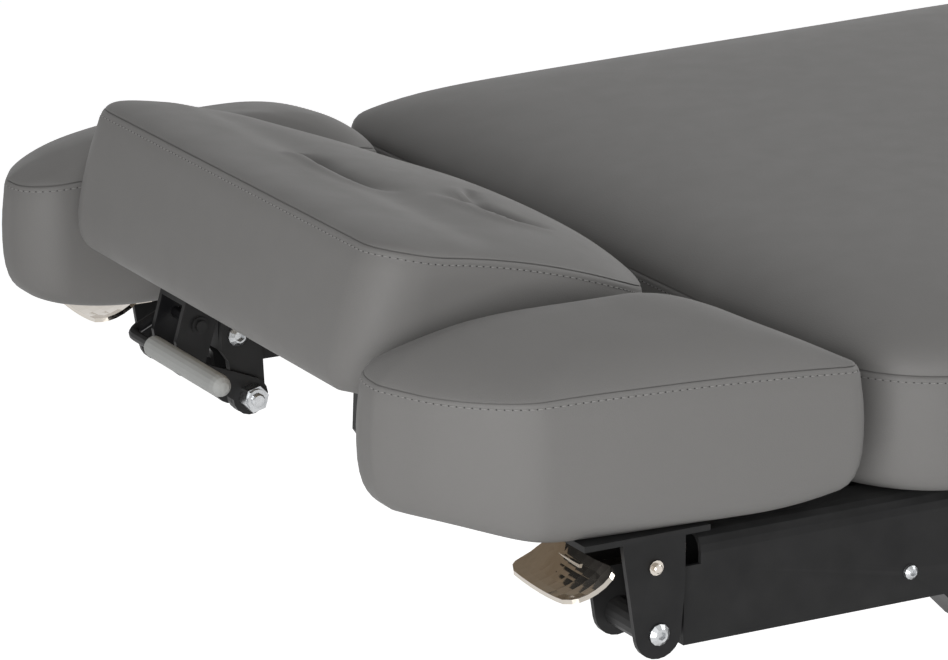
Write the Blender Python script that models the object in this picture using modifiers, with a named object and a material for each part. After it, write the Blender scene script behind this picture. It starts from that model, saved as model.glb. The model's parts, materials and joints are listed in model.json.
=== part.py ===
"""Facial bed: padded sections on a lifting column, with a tilting headrest and two drop-down armrests.

X runs along the bed towards the feet, Y across it, Z up. The origin lies on the floor at the centre
of the bed's outline. Sizes are in metres.
"""

from math import atan2, cos, hypot, pi, radians, sin, tan

import bmesh
import bpy
from mathutils import Matrix, Vector

# Clearances
GAP = 0.0003
PLAY = 0.0006
PIN_PLAY = 0.0003
WELD = 0.0005

# Lying surface: pads on boards
SEAM_Z = 0.660
PAD_HALF_WIDTH = 0.380
PAD_SIDE = 0.080
PAD_CROWN = 0.040
PAD_BULGE = 0.005
PAD_PUFF = 7.0
PAD_TUCK = 0.010
PAD_END_RADIUS = 0.045
BACK_LENGTH = 0.716
BACK_HEAD_CROWN = 0.040
BACK_FOOT_CROWN = 0.058
BACK_CROWN_RUN = 0.560
BACK_HEAD_RADIUS = 0.088
BACK_LEFT_RADIUS = 0.040
SEAT_LENGTH = 0.346
LEG_LENGTH = 0.492
LEG_FOOT_RADIUS = 0.090
BACK_SEAT_GAP = 0.042
SEAT_LEG_GAP = 0.016
BOARD_THICKNESS = 0.012
BOARD_INSET = 0.050

# Armrests
ARM_REACH = 0.308
ARM_LENGTH = 0.294
ARM_WIDTH = 0.1275
ARM_INSET = 0.143
ARM_SEAM_RISE = 0.028
ARM_SIDE = 0.101
ARM_CROWN = 0.029
ARM_FLARE = 0.011
ARM_FOOT_SLANT = 0.052
ARM_TIP_SLANT = 0.029
ARM_OUTER_DROP = 0.0045
ARM_FOOT_DROP = 0.005
ARM_TIP_DROP = 0.004
ARM_TIP_LIFT = 0.016
ARM_FOOT_LIFT = 0.010
ARM_PUFF = 3.3
ARM_TIP_RADIUS = 0.058
ARM_HEEL_RADIUS = 0.014
ARM_INNER_RADIUS = 0.028
ARM_INNER_HEEL_RADIUS = 0.045
ARM_BOARD_LENGTH = 0.135
ARM_BOARD_AHEAD = 0.002
ARM_PIVOT_AHEAD = 0.156
ARM_PIVOT_DROP = 0.140
ARM_CHEEK = 0.004
ARM_CHEEK_RADIUS = 0.0165
ARM_BOLT_RADIUS = 0.004
ARM_PIN_RADIUS = 0.003
ARM_PIN_RISE = 0.045
ARM_WEB_HEAD = 0.054
ARM_WEB_FOOT = 0.037
PADDLE_WIDTH = 0.082
PADDLE_LENGTH = 0.039
PADDLE_OUT = 0.006
PADDLE_SLOPE = radians(25)
PADDLE_REACH = 0.034
PADDLE_SHEET = 0.003

# Headrest
HEADREST_TILT = radians(16)
HEADREST_LENGTH = 0.232
HEADREST_INSET = 0.160
HEADREST_SIDE = 0.094
HEADREST_CROWN = 0.026
HEADREST_RADIUS = 0.020
HEADREST_FOOT_RADIUS = 0.070
HEADREST_PUFF = 4.5
HEADREST_ROLL = 0.012
HEADREST_ARCH = 0.012
HEAD_BOARD_END_INSET = 0.023
HEAD_BOARD_AHEAD = 0.008
HEAD_PIVOT_AHEAD = 0.2007
HEAD_PIVOT_DROP = 0.1108
HEAD_SEAM_OVER_PIVOT = 0.168
HEAD_ARM_OFFSET = 0.138
PLAIN_ARM_OFFSET = 0.090
HEAD_ARM_WIDTH = 0.020
HEAD_ARM_HEIGHT = 0.026
HEAD_ARM_SLOPE = radians(13)
DROP_PLATE = 0.006
HEAD_FLANGE = 0.004
HEAD_BOLT_RADIUS = 0.005
HANDLE_ROD_RADIUS = 0.004
GRIP_RADIUS = 0.0078
GRIP_LENGTH = 0.112
GRIP_AHEAD = 0.0787
GRIP_RISE = 0.023
KNUCKLE_RADIUS = 0.0135
PLAIN_KNUCKLE_RADIUS = 0.011
LATCH_FROM = 0.068
LATCH_TO = 0.040
LATCH_PIN_AHEAD = 0.0537
LATCH_PIN_RISE = 0.0447
LATCH_LIP = 0.016
BRACKET_FOOT = 0.046
PLAIN_FROM = 0.030
HEAD_BOLT_AHEAD = 0.0078
HEAD_BOLT_RISE = 0.0444

# Back frame
RAIL_INSET = 0.021
RAIL_WIDTH = 0.045
RAIL_HEIGHT = 0.0725
RAIL_WALL = 0.003
RAIL_BEND = 0.013
RAIL_REACH = 0.135
PIVOT_TUBE_RADIUS = 0.010
RAIL_STEP_AT = 0.062
RAIL_DEEP = 0.105
NOTCH_LENGTH = 0.012
NOTCH_DEPTH = 0.020
TUBE = 0.040
TUBE_WALL = 0.003
HEAD_BAR_AT = 0.035
CROSS_PLATE = 0.006
CROSS_PLATE_AHEAD = 0.022
CROSS_PLATE_RUN = 0.114
SCREW_RADIUS = 0.003

# Section hinges
EAR = 0.008
EAR_HALF_WIDTH = 0.0115
EAR_LEG = 0.080
HINGE_PIN_RADIUS = 0.005
BACK_PIVOT_DROP = 0.010
LEG_PIVOT_DROP = 0.045
SEAT_RAIL_WIDTH = 0.040
SEAT_FRONT_BAR_AT = 0.032
SEAT_REAR_BAR_AT = 0.192

# Actuators
DRIVE_OFFSET = 0.150
DRIVE_RADIUS = 0.018
DRIVE_ROD_RADIUS = 0.010
DRIVE_EYE = 0.008
DRIVE_EYE_HALF_HEIGHT = 0.0135
DRIVE_PIN_RADIUS = 0.005
DRIVE_SLOT = 0.017
DRIVE_EYE_INNER = 0.043
DRIVE_EYE_OUTER = 0.031
DRIVE_TUBE_FROM = 0.043
DRIVE_BORE_FROM = 0.047
DRIVE_MOTOR_FROM = 0.030
DRIVE_MOTOR_LENGTH = 0.090
DRIVE_MOTOR_DEPTH = 0.064
BACK_DRIVE_LENGTH = 0.262
BACK_ROD_FROM = 0.060
BACK_DRIVE_BELOW = 0.220
BACK_DRIVE_ANGLE = radians(225)
LEG_DRIVE_LENGTH = 0.226
LEG_ROD_FROM = 0.200
LEG_DRIVE_BELOW = 0.102
LEG_DRIVE_ANGLE = radians(-12)
LUG = 0.005

# Column and base
COLUMN_LENGTH = 0.170
COLUMN_WIDTH = 0.140
COLUMN_WALL = 0.005
COLUMN_GLIDE = 0.005
GLIDE_HEIGHT = 0.060
COLUMN_TOP = 0.400
INNER_BOTTOM = 0.060
HEAD_PLATE = 0.012
HEAD_PLATE_LENGTH = 0.200
HEAD_PLATE_WIDTH = 0.230
FOOT_HEIGHT = 0.020
FOOT_RADIUS = 0.024
BASE_THICKNESS = 0.010
BASE_LENGTH = 0.820
BASE_WIDTH = 0.540
BASE_X = 0.050
COVER_HEIGHT = 0.085
COVER_WALL = 0.004
COVER_MARGIN = 0.060
COVER_ROUND = 0.022
INLET_LENGTH = 0.048
INLET_HEIGHT = 0.026
INLET_DEPTH = 0.030
INLET_RIM = 0.004
INLET_OFFSET = 0.100

# Places that follow from the sizes above
TOTAL_LENGTH = (ARM_REACH + BACK_LENGTH + BACK_SEAT_GAP + SEAT_LENGTH + SEAT_LEG_GAP + LEG_LENGTH
                + 2 * PAD_BULGE)
BACK_HEAD_X = ARM_REACH + PAD_BULGE - TOTAL_LENGTH / 2
BACK_FOOT_X = BACK_HEAD_X + BACK_LENGTH
SEAT_HEAD_X = BACK_FOOT_X + BACK_SEAT_GAP
SEAT_FOOT_X = SEAT_HEAD_X + SEAT_LENGTH
LEG_HEAD_X = SEAT_FOOT_X + SEAT_LEG_GAP
LEG_FOOT_X = LEG_HEAD_X + LEG_LENGTH
PAD_BOTTOM = SEAM_Z - PAD_SIDE
RAIL_TOP = PAD_BOTTOM - GAP
RAIL_OUTER = PAD_HALF_WIDTH - RAIL_INSET
RAIL_BOTTOM = RAIL_TOP - RAIL_HEIGHT
RAIL_INNER = RAIL_OUTER - RAIL_WIDTH
HEADREST_HALF_WIDTH = PAD_HALF_WIDTH - HEADREST_INSET
RAIL_MIDDLE = RAIL_OUTER - RAIL_WIDTH / 2
OUTER_EAR = RAIL_INNER + WELD - EAR / 2
INNER_EAR = OUTER_EAR - EAR - PLAY
SEAT_RAIL_OUTER = INNER_EAR - EAR / 2 + WELD
SEAT_RAIL_INNER = SEAT_RAIL_OUTER - SEAT_RAIL_WIDTH
BACK_PIVOT = Vector((BACK_FOOT_X + BACK_SEAT_GAP / 2, 0, SEAM_Z - BACK_PIVOT_DROP))
LEG_PIVOT = Vector((SEAT_FOOT_X + SEAT_LEG_GAP / 2, 0, RAIL_TOP - LEG_PIVOT_DROP))
HEAD_PIVOT = Vector((BACK_HEAD_X - HEAD_PIVOT_AHEAD, 0, SEAM_Z - HEAD_PIVOT_DROP))
ARM_PIVOT = Vector((BACK_HEAD_X - ARM_PIVOT_AHEAD, 0, SEAM_Z - ARM_PIVOT_DROP))
ARM_INNER = PAD_HALF_WIDTH - ARM_INSET
CHEEK_OUTER = RAIL_OUTER + PLAY + ARM_CHEEK / 2
CHEEK_INNER = RAIL_INNER - PLAY - ARM_CHEEK / 2


def material(name, colour, roughness, metallic=0.0):
    mat = bpy.data.materials.new(name)
    mat.use_nodes = True
    shader = mat.node_tree.nodes["Principled BSDF"]
    shader.inputs["Base Color"].default_value = (*colour, 1.0)
    shader.inputs["Roughness"].default_value = roughness
    shader.inputs["Metallic"].default_value = metallic
    return mat


def empty(name, at, tilt=0.0, parent=None):
    """An empty on a joint's axis, which carries the pieces of one moving body."""
    obj = bpy.data.objects.new(name, None)
    bpy.context.scene.collection.objects.link(obj)
    world = Matrix.Translation(at) @ Matrix.Rotation(tilt, 4, "Y")
    obj.parent = parent
    obj.matrix_world = world
    bpy.context.view_layer.update()
    return obj


def raw(bm, name="raw"):
    bmesh.ops.recalc_face_normals(bm, faces=bm.faces)
    mesh = bpy.data.meshes.new(name)
    bm.to_mesh(mesh)
    bm.free()
    obj = bpy.data.objects.new(name, mesh)
    cutters.objects.link(obj)
    return obj


def baked(obj):
    """The object with its modifiers applied, as a mesh at its place in the world."""
    bpy.context.view_layer.update()
    graph = bpy.context.evaluated_depsgraph_get()
    mesh = bpy.data.meshes.new_from_object(obj.evaluated_get(graph))
    mesh.transform(obj.matrix_world)
    bm = bmesh.new()
    bm.from_mesh(mesh)
    bmesh.ops.remove_doubles(bm, verts=bm.verts, dist=0.000002)
    bpy.data.objects.remove(obj)
    return raw(bm)


def box(size, at, bevel=0.0, segments=2, turn=0.0):
    bm = bmesh.new()
    bmesh.ops.create_cube(bm, size=1.0)
    bmesh.ops.scale(bm, verts=bm.verts, vec=size)
    obj = raw(bm)
    obj.matrix_world = Matrix.Translation(at) @ Matrix.Rotation(turn, 4, "Y")
    if bevel:
        mod = obj.modifiers.new("Rounded edges", "BEVEL")
        mod.width = bevel
        mod.segments = segments
        return baked(obj)
    return obj


def between(low, high, bevel=0.0, segments=2):
    size = [b - a for a, b in zip(low, high)]
    return box(size, [(a + b) / 2 for a, b in zip(low, high)], bevel, segments)


AXES = {"X": Matrix.Rotation(pi / 2, 4, "Y"), "Y": Matrix.Rotation(-pi / 2, 4, "X"), "Z": Matrix()}


def cylinder(radius, length, at, axis="Y", sides=16):
    bm = bmesh.new()
    bmesh.ops.create_cone(bm, cap_ends=True, segments=sides, radius1=radius, radius2=radius, depth=length)
    obj = raw(bm)
    obj.matrix_world = Matrix.Translation(at) @ AXES[axis]
    return obj


def turned(profile, at, axis="Y", steps=12, flip=False):
    """A profile of (radius, height) points, run down its outer side, turned about the axis."""
    bm = bmesh.new()
    points = [bm.verts.new((r, 0, z)) for r, z in profile]
    for a, b in zip(points, points[1:]):
        bm.edges.new((a, b))
    mesh = bpy.data.meshes.new("profile")
    bm.to_mesh(mesh)
    bm.free()
    obj = bpy.data.objects.new("profile", mesh)
    cutters.objects.link(obj)
    mod = obj.modifiers.new("Turned", "SCREW")
    mod.steps = mod.render_steps = steps
    mod.use_merge_vertices = True
    mod.merge_threshold = 0.00001
    turn = Matrix.Rotation(pi, 4, "X") if flip else Matrix()
    obj.matrix_world = Matrix.Translation(at) @ AXES[axis] @ turn
    return baked(obj)


def arc(cx, cz, radius, start, end, steps=8):
    angles = [radians(start + (end - start) * i / steps) for i in range(steps + 1)]
    return [(cx + radius * cos(a), cz + radius * sin(a)) for a in angles]


def plate(outline, thickness, y, holes=(), origin=(0, 0)):
    """A flat outline of (x, z) points, with round holes, standing across Y."""
    curve = bpy.data.curves.new("outline", "CURVE")
    curve.dimensions = "2D"
    curve.fill_mode = "BOTH"
    curve.extrude = thickness / 2
    loops = [outline] + [arc(x, z, r, 0, 330, 11) for x, z, r in holes]
    for loop in loops:
        spline = curve.splines.new("POLY")
        spline.points.add(len(loop) - 1)
        for point, (x, z) in zip(spline.points, loop):
            point.co = (x, z, 0, 1)
        spline.use_cyclic_u = True
    obj = bpy.data.objects.new("outline", curve)
    cutters.objects.link(obj)
    obj.matrix_world = Matrix.Translation((origin[0], y, origin[1])) @ Matrix.Rotation(pi / 2, 4, "X")
    return baked(obj)


def boolean(obj, other, operation):
    mod = obj.modifiers.new(operation.title(), "BOOLEAN")
    mod.operation = operation
    mod.object = other
    mod.solver = "EXACT"
    result = baked(obj)
    bpy.data.objects.remove(other)
    return result


def cut(obj, *others):
    for other in others:
        obj = boolean(obj, other, "DIFFERENCE")
    return obj


def unite(obj, *others):
    for other in others:
        obj = boolean(obj, other, "UNION")
    return obj


def swept(points, radius, bend=0.0, resolution=2):
    """A round bar through the points, with rounded bends."""
    path = [points[0]]
    for a, b, c in zip(points, points[1:], points[2:]):
        a, b, c = Vector(a), Vector(b), Vector(c)
        start, end = b + (a - b).normalized() * bend, b + (c - b).normalized() * bend
        for i in range(7):
            t = i / 6
            path.append(start * (1 - t) ** 2 + b * 2 * t * (1 - t) + end * t ** 2)
    path.append(points[-1])
    curve = bpy.data.curves.new("path", "CURVE")
    curve.dimensions = "3D"
    curve.bevel_depth = radius
    curve.bevel_resolution = resolution
    curve.use_fill_caps = True
    spline = curve.splines.new("POLY")
    spline.points.add(len(path) - 1)
    for point, place in zip(spline.points, path):
        point.co = (*place, 1)
    obj = bpy.data.objects.new("path", curve)
    cutters.objects.link(obj)
    return baked(obj)


def node(name, body, mat, piece, smooth=30):
    """One named sub-part, hung on its body's empty."""
    bpy.context.view_layer.update()
    mesh = piece.data
    mesh.name = name
    mesh.transform(body.matrix_world.inverted() @ piece.matrix_world)
    mesh.materials.append(mat)
    mesh.shade_smooth()
    mesh.set_sharp_from_angle(angle=radians(smooth))
    bpy.data.objects.remove(piece)
    obj = bpy.data.objects.new(name, mesh)
    parts.objects.link(obj)
    obj.parent = body
    return obj


def in_body(body, piece):
    """A piece drawn in a tilted body's own frame, moved to its place in the world."""
    bpy.context.view_layer.update()
    piece.matrix_world = body.matrix_world @ piece.matrix_world
    return piece


def pad(half_length, half_width, radii, side, crown, puff, shape=None, cells=(12, 10)):
    """A cushion about its seam's centre: crowned top, drawn-in sides, tucked bottom edge.

    radii are the plan's corner radii: head and foot on the -Y side, then head and foot on the +Y side.
    puff sets how soon the crown rises behind the seam: 2 is an even arch, more is fuller at the edge.
    """
    levels = (0.0, 0.16, 0.50, 0.80, 0.95, 1.0)
    bulges = (0.0, 0.6, 1.0, 0.7, -0.1, -PAD_TUCK / PAD_BULGE)
    bm = bmesh.new()
    bmesh.ops.create_cube(bm, size=2.0)
    for axis, count in ((0, cells[0]), (1, cells[1]), (2, len(levels) - 1)):
        edges = [e for e in bm.edges if abs(e.verts[0].co[axis] - e.verts[1].co[axis]) > 1.0]
        bmesh.ops.subdivide_edges(bm, edges=edges, cuts=count - 1, use_grid_fill=True)
    for vert in bm.verts:
        u, v, w = vert.co
        level = round((1 - w) / 2 * (len(levels) - 1))
        ring = max(abs(u), abs(v))
        su, sv = (u / ring, v / ring) if ring else (0, 0)
        su, sv = (sin(pi / 2 * abs(t) ** 0.9) * (1 if t > 0 else -1) if abs(t) < 1 else t for t in (su, sv))
        radius = radii[(2 if v > 0 else 0) + (1 if u > 0 else 0)]
        corner = Vector((max(-half_length + radius, min(half_length - radius, su * half_length)),
                         max(-half_width + radius, min(half_width - radius, sv * half_width))))
        out = Vector((su * half_length, sv * half_width)) - corner
        out = out.normalized() if out.length > 0 else out
        edge = corner + out * radius
        reach = sin(pi / 2 * ring ** 0.9)
        place = edge * reach + out * bulges[level] * PAD_BULGE * (reach if level else 0.0)
        x, y, z = place.x, place.y, -side * levels[level]
        if w > 0.99:
            a, b = abs(x) / half_length, abs(y) / half_width
            full = (1 - min(a, 1) ** puff) * (1 - min(b, 1) ** puff)
            z += crown * full ** (2 / puff + 0.2) if ring < 1 else 0.0
        if shape:
            x, y, z = shape(x, y, z, x / half_length, y / half_width, level)
        vert.co = (x, y, z)
    return raw(bm)


def cushion(piece, board_size, board_at):
    """The pad with the pocket in its underside that its board sits in."""
    pocket = [s + 2 * GAP for s in board_size[:2]] + [2 * board_size[2] + 2 * GAP]
    return cut(piece, box(pocket, (board_at[0], board_at[1], board_at[2] - board_size[2] / 2)))


def hollow_tube(low, high, wall, axis):
    outer = between(low, high, bevel=wall, segments=2)
    inner_low = [v - 0.01 if i == axis else v + wall for i, v in enumerate(low)]
    inner_high = [v + 0.01 if i == axis else v - wall for i, v in enumerate(high)]
    return cut(outer, between(inner_low, inner_high))


def hinge_bolt(at, grip, radius, facing, head=1.7, nut=1.75):
    """A turned bolt with its head outwards (facing -1 or +1 along Y) and a locknut inside."""
    half = grip / 2 + PIN_PLAY
    head_radius, head_height = radius * head, radius
    profile = [(0, half + head_height), (head_radius * 0.6, half + head_height),
               (head_radius, half + head_height * 0.35), (head_radius, half), (radius, half),
               (radius, -half), (radius * nut, -half), (radius * nut, -half - radius * 1.4),
               (radius * 0.9, -half - radius * 1.4), (radius * 0.9, -half - radius * 1.9),
               (0, -half - radius * 1.9)]
    bolt = turned(profile, at, "Y", flip=facing < 0)
    socket = cylinder(radius * 0.72, head_height, (at[0], at[1] + facing * (half + head_height), at[2]),
                      "Y", 6)
    return cut(bolt, socket)


for old in list(bpy.data.objects):
    bpy.data.objects.remove(old)
parts = bpy.data.collections.new("facial_bed")
cutters = bpy.data.collections.new("facial_bed_cutters")
bpy.context.scene.collection.children.link(parts)
bpy.context.scene.collection.children.link(cutters)

VINYL = material("grey vinyl", (0.17, 0.168, 0.163), 0.5)
PLY = material("plywood board", (0.42, 0.30, 0.18), 0.7)
BLACK = material("satin black paint", (0.03, 0.03, 0.03), 0.42)
ZINC = material("zinc plated steel", (0.62, 0.62, 0.60), 0.3, 1.0)
CHROME = material("polished chrome", (0.75, 0.74, 0.72), 0.08, 1.0)
RUBBER = material("grey rubber grip", (0.33, 0.34, 0.335), 0.65)
FOOT_RUBBER = material("black rubber foot", (0.02, 0.02, 0.02), 0.8)
PLASTIC = material("grey moulded cover", (0.12, 0.12, 0.125), 0.5)
DRIVE = material("black drive housing", (0.025, 0.025, 0.027), 0.45)
GLIDE = material("white nylon glide", (0.78, 0.78, 0.76), 0.5)

# Joint axes
base = empty("base_body", (0, 0, 0))
lift = empty("lift_body", (0, 0, 0), parent=base)
back = empty("back_body", BACK_PIVOT, parent=lift)
leg = empty("leg_body", LEG_PIVOT, parent=lift)
headrest = empty("headrest_body", HEAD_PIVOT, HEADREST_TILT, parent=back)

# Back, seat and leg pads, each on its board
FULL_BOARD_WIDTH = 2 * (PAD_HALF_WIDTH - BOARD_INSET)


def back_form(x, y, z, u, v, level):
    """The back pad's crown grows from the head end towards the seat."""
    along = min(1.0, max(0.0, (x + BACK_LENGTH / 2) / BACK_CROWN_RUN))
    if z > 0:
        z *= 1 + (BACK_FOOT_CROWN / BACK_HEAD_CROWN - 1) * along
    return x, y, z


for name, body, x0, x1, radii, crown, form in (
        ("back", back, BACK_HEAD_X, BACK_FOOT_X,
         (BACK_HEAD_RADIUS, PAD_END_RADIUS, BACK_LEFT_RADIUS, PAD_END_RADIUS), BACK_HEAD_CROWN, back_form),
        ("seat", lift, SEAT_HEAD_X, SEAT_FOOT_X, (PAD_END_RADIUS,) * 4, PAD_CROWN, None),
        ("leg", leg, LEG_HEAD_X, LEG_FOOT_X, (PAD_END_RADIUS, LEG_FOOT_RADIUS) * 2, PAD_CROWN, None)):
    middle = (x0 + x1) / 2
    piece = pad((x1 - x0) / 2, PAD_HALF_WIDTH, radii, PAD_SIDE, crown, PAD_PUFF, form)
    piece.matrix_world = Matrix.Translation((middle, 0, SEAM_Z))
    size = (x1 - x0 - 2 * BOARD_INSET, FULL_BOARD_WIDTH, BOARD_THICKNESS)
    at = (middle, 0, PAD_BOTTOM + BOARD_THICKNESS / 2)
    node(name + "_cushion", body, VINYL, cushion(piece, size, at), smooth=60)
    node(name + "_board", body, PLY, box(size, at, 0.002, 1))

# Hinge ears: the back turns on ears in the gap between its pad and the seat's, the legs turn lower down
def ear(pivot, reach, y):
    """An upright ear round the pivot whose leg runs along its rail."""
    way = 1 if reach > 0 else -1
    w = EAR_HALF_WIDTH
    high, low = RAIL_TOP - RAIL_BEND - WELD, RAIL_BOTTOM + 0.008
    over = arc(pivot.x, pivot.z, w, 0, 180) if way < 0 else arc(pivot.x, pivot.z, w, 180, 0)
    tail = [(pivot.x + way * w, high), (pivot.x + reach, high), (pivot.x + reach, low),
            (pivot.x - way * w, low)]
    return plate(over + tail, EAR, y, [(pivot.x, pivot.z, HINGE_PIN_RADIUS + PIN_PLAY)])


def lug(pivot, reach, y):
    """A flat lug round the leg hinge's pivot."""
    r = LEG_PIVOT_DROP * 0.45
    way = 1 if reach > 0 else -1
    nose = arc(pivot.x, pivot.z, r, 90, 270) if way > 0 else arc(pivot.x, pivot.z, r, 270, 450)
    end = [(pivot.x + reach, pivot.z - way * r), (pivot.x + reach, pivot.z + way * r)]
    return plate(nose + end, EAR, y, [(pivot.x, pivot.z, HINGE_PIN_RADIUS + PIN_PLAY)])


# Back frame: two hollow rails with a rounded upper edge, deeper behind the armrests
rail_head = BACK_HEAD_X - RAIL_REACH
rail_foot = BACK_FOOT_X - 0.02
step_x = BACK_HEAD_X + RAIL_STEP_AT
deep = RAIL_DEEP - RAIL_HEIGHT
screw_at = (BACK_HEAD_X + HEAD_BAR_AT, RAIL_BOTTOM + TUBE / 2)
for side, word in ((-1, "right"), (1, "left")):
    y = side * RAIL_MIDDLE
    outline = [(rail_head, RAIL_BOTTOM), (step_x, RAIL_BOTTOM), (step_x + deep, RAIL_BOTTOM - deep),
               (rail_foot, RAIL_BOTTOM - deep), (rail_foot, RAIL_TOP), (rail_head, RAIL_TOP)]
    rail = plate(outline, RAIL_WIDTH, y)
    bm = bmesh.new()
    bm.from_mesh(rail.data)
    bmesh.ops.dissolve_limit(bm, angle_limit=0.01, verts=bm.verts, edges=bm.edges)
    top = [e for e in bm.edges if all(abs(v.co.z - RAIL_TOP) < 1e-5 for v in e.verts)
           and abs(e.verts[0].co.x - e.verts[1].co.x) > 0.1]
    bmesh.ops.bevel(bm, geom=top, offset=RAIL_BEND, segments=4, profile=0.5, affect="EDGES")
    bpy.data.objects.remove(rail)
    rail = raw(bm)
    half = RAIL_WIDTH / 2 - RAIL_WALL
    core = between((rail_head - 0.01, y - half, RAIL_BOTTOM + RAIL_WALL),
                   (rail_foot + 0.01, y + half, RAIL_TOP - RAIL_WALL), RAIL_BEND - RAIL_WALL, 3)
    half -= WELD
    low_core = between((step_x + deep + RAIL_WALL, y - half, RAIL_BOTTOM - deep + RAIL_WALL),
                       (rail_foot + 0.01, y + half, RAIL_BOTTOM + RAIL_HEIGHT / 2))
    notch = between((rail_head - 0.01, y - RAIL_WIDTH, RAIL_TOP - NOTCH_DEPTH),
                    (rail_head + NOTCH_LENGTH, y + RAIL_WIDTH, RAIL_TOP + 0.01))
    hole = cylinder(SCREW_RADIUS + PIN_PLAY, 3 * RAIL_WIDTH, (screw_at[0], y, screw_at[1]))
    rail = cut(rail, core, low_core, notch, hole)

    # The ear for the back's hinge and the tube that the armrest turns on are welded to the rail
    tube = cylinder(PIVOT_TUBE_RADIUS, RAIL_WIDTH - 2 * GAP, (ARM_PIVOT.x, y, ARM_PIVOT.z), "Y")
    tongue = between((ARM_PIVOT.x, y - 0.006, RAIL_BOTTOM + RAIL_WALL - WELD),
                     (rail_head + 0.040, y + 0.006, ARM_PIVOT.z + 0.006))
    bored = cylinder(ARM_BOLT_RADIUS + PIN_PLAY, 2 * RAIL_WIDTH, (ARM_PIVOT.x, y, ARM_PIVOT.z), "Y", 16)
    tube = cut(unite(tube, tongue), bored)
    node("back_rail_" + word, back, BLACK,
         unite(rail, tube, ear(BACK_PIVOT, -EAR_LEG - 0.05, side * OUTER_EAR)))

inside = RAIL_INNER - GAP
node("back_head_bar", back, BLACK, hollow_tube(
    (screw_at[0] - TUBE / 2, -inside, RAIL_BOTTOM), (screw_at[0] + TUBE / 2, inside, RAIL_BOTTOM + TUBE),
    TUBE_WALL, 1))
plate_head = BACK_HEAD_X - CROSS_PLATE_AHEAD
node("back_cross_plate", back, BLACK, between(
    (plate_head, -inside, RAIL_TOP - CROSS_PLATE), (plate_head + CROSS_PLATE_RUN, inside, RAIL_TOP)))
for side, word in ((-1, "right"), (1, "left")):
    reach = RAIL_WIDTH - RAIL_WALL
    profile = [(0, 0.0042), (0.0028, 0.0040), (0.0048, 0.0022), (0.0053, GAP), (SCREW_RADIUS, GAP),
               (SCREW_RADIUS, -reach), (0, -reach)]
    screw = turned(profile, (screw_at[0], side * RAIL_OUTER, screw_at[1]), "Y", flip=side < 0)
    socket = cylinder(0.0022, 0.004, (screw_at[0], side * (RAIL_OUTER + 0.0042), screw_at[1]), "Y", 6)
    node("rail_screw_" + word, back, ZINC, cut(screw, socket))

# Hinge shafts across the bed
for name, pivot in (("back_hinge_shaft", BACK_PIVOT), ("leg_hinge_shaft", LEG_PIVOT)):
    half = RAIL_INNER + WELD + PIN_PLAY
    r = HINGE_PIN_RADIUS
    ends = [(0, half + 0.005), (r, half + 0.005), (r * 1.6, half + 0.003), (r * 1.6, half)]
    profile = ends + [(r, half), (r, -half)] + [(a, -b) for a, b in reversed(ends)]
    node(name, lift, ZINC, turned(profile, pivot))

# Seat frame on the lift head
seat_rail_foot = SEAT_FOOT_X - 0.02
for side, word in ((-1, "right"), (1, "left")):
    y0, y1 = sorted((side * SEAT_RAIL_OUTER, side * SEAT_RAIL_INNER))
    rail = hollow_tube((SEAT_HEAD_X + 0.004, y0, RAIL_BOTTOM), (seat_rail_foot, y1, RAIL_TOP), RAIL_WALL, 0)
    node("seat_rail_" + word, lift, BLACK, unite(
        rail, ear(BACK_PIVOT, EAR_LEG, side * INNER_EAR), lug(LEG_PIVOT, -EAR_LEG, side * INNER_EAR)))
front_bar_x, rear_bar_x = SEAT_FOOT_X - SEAT_FRONT_BAR_AT, SEAT_FOOT_X - SEAT_REAR_BAR_AT
seat_inside = SEAT_RAIL_INNER - GAP
column_x = (front_bar_x + rear_bar_x) / 2
plate_top = RAIL_BOTTOM - GAP
node("lift_head_plate", lift, BLACK, between(
    (column_x - HEAD_PLATE_LENGTH / 2, -HEAD_PLATE_WIDTH / 2, plate_top - HEAD_PLATE),
    (column_x + HEAD_PLATE_LENGTH / 2, HEAD_PLATE_WIDTH / 2, plate_top), 0.002, 1))

# Leg frame
leg_rail_foot = LEG_FOOT_X - 0.07
leg_rail_head = LEG_HEAD_X + 0.014
for side, word in ((-1, "right"), (1, "left")):
    y0, y1 = sorted((side * RAIL_OUTER, side * RAIL_INNER))
    rail = hollow_tube((leg_rail_head, y0, RAIL_BOTTOM), (leg_rail_foot, y1, RAIL_TOP), RAIL_WALL, 0)
    node("leg_rail_" + word, leg, BLACK, unite(rail, lug(LEG_PIVOT, EAR_LEG, side * OUTER_EAR)))


def cross_bar(x, z, half):
    return hollow_tube((x - TUBE / 2, -half, z - TUBE / 2), (x + TUBE / 2, half, z + TUBE / 2), TUBE_WALL, 1)


leg_bar_z = RAIL_TOP - GAP - TUBE / 2
node("leg_foot_bar", leg, BLACK, cross_bar(leg_rail_foot - TUBE, leg_bar_z, inside))
node("seat_front_bar", lift, BLACK, cross_bar(front_bar_x, RAIL_BOTTOM + TUBE / 2, seat_inside))


# Actuators: a body that swings on its clevis, and a rod whose eye has a free-lift slot for the lever's pin
def clevis(pin, top):
    """Two lugs either side of a drive eye, hung from a bar above, with the pin between them."""
    half = DRIVE_EYE / 2 + PLAY + LUG / 2
    r = DRIVE_EYE_HALF_HEIGHT
    outline = arc(pin.x, pin.z, r, 180, 360) + [(pin.x + r, top), (pin.x - r, top)]
    lugs = [plate(outline, LUG, pin.y + side * half) for side in (-1, 1)]
    bar = cylinder(DRIVE_PIN_RADIUS, 2 * half + LUG / 2, pin)
    return unite(lugs[0], bar, lugs[1])


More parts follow.
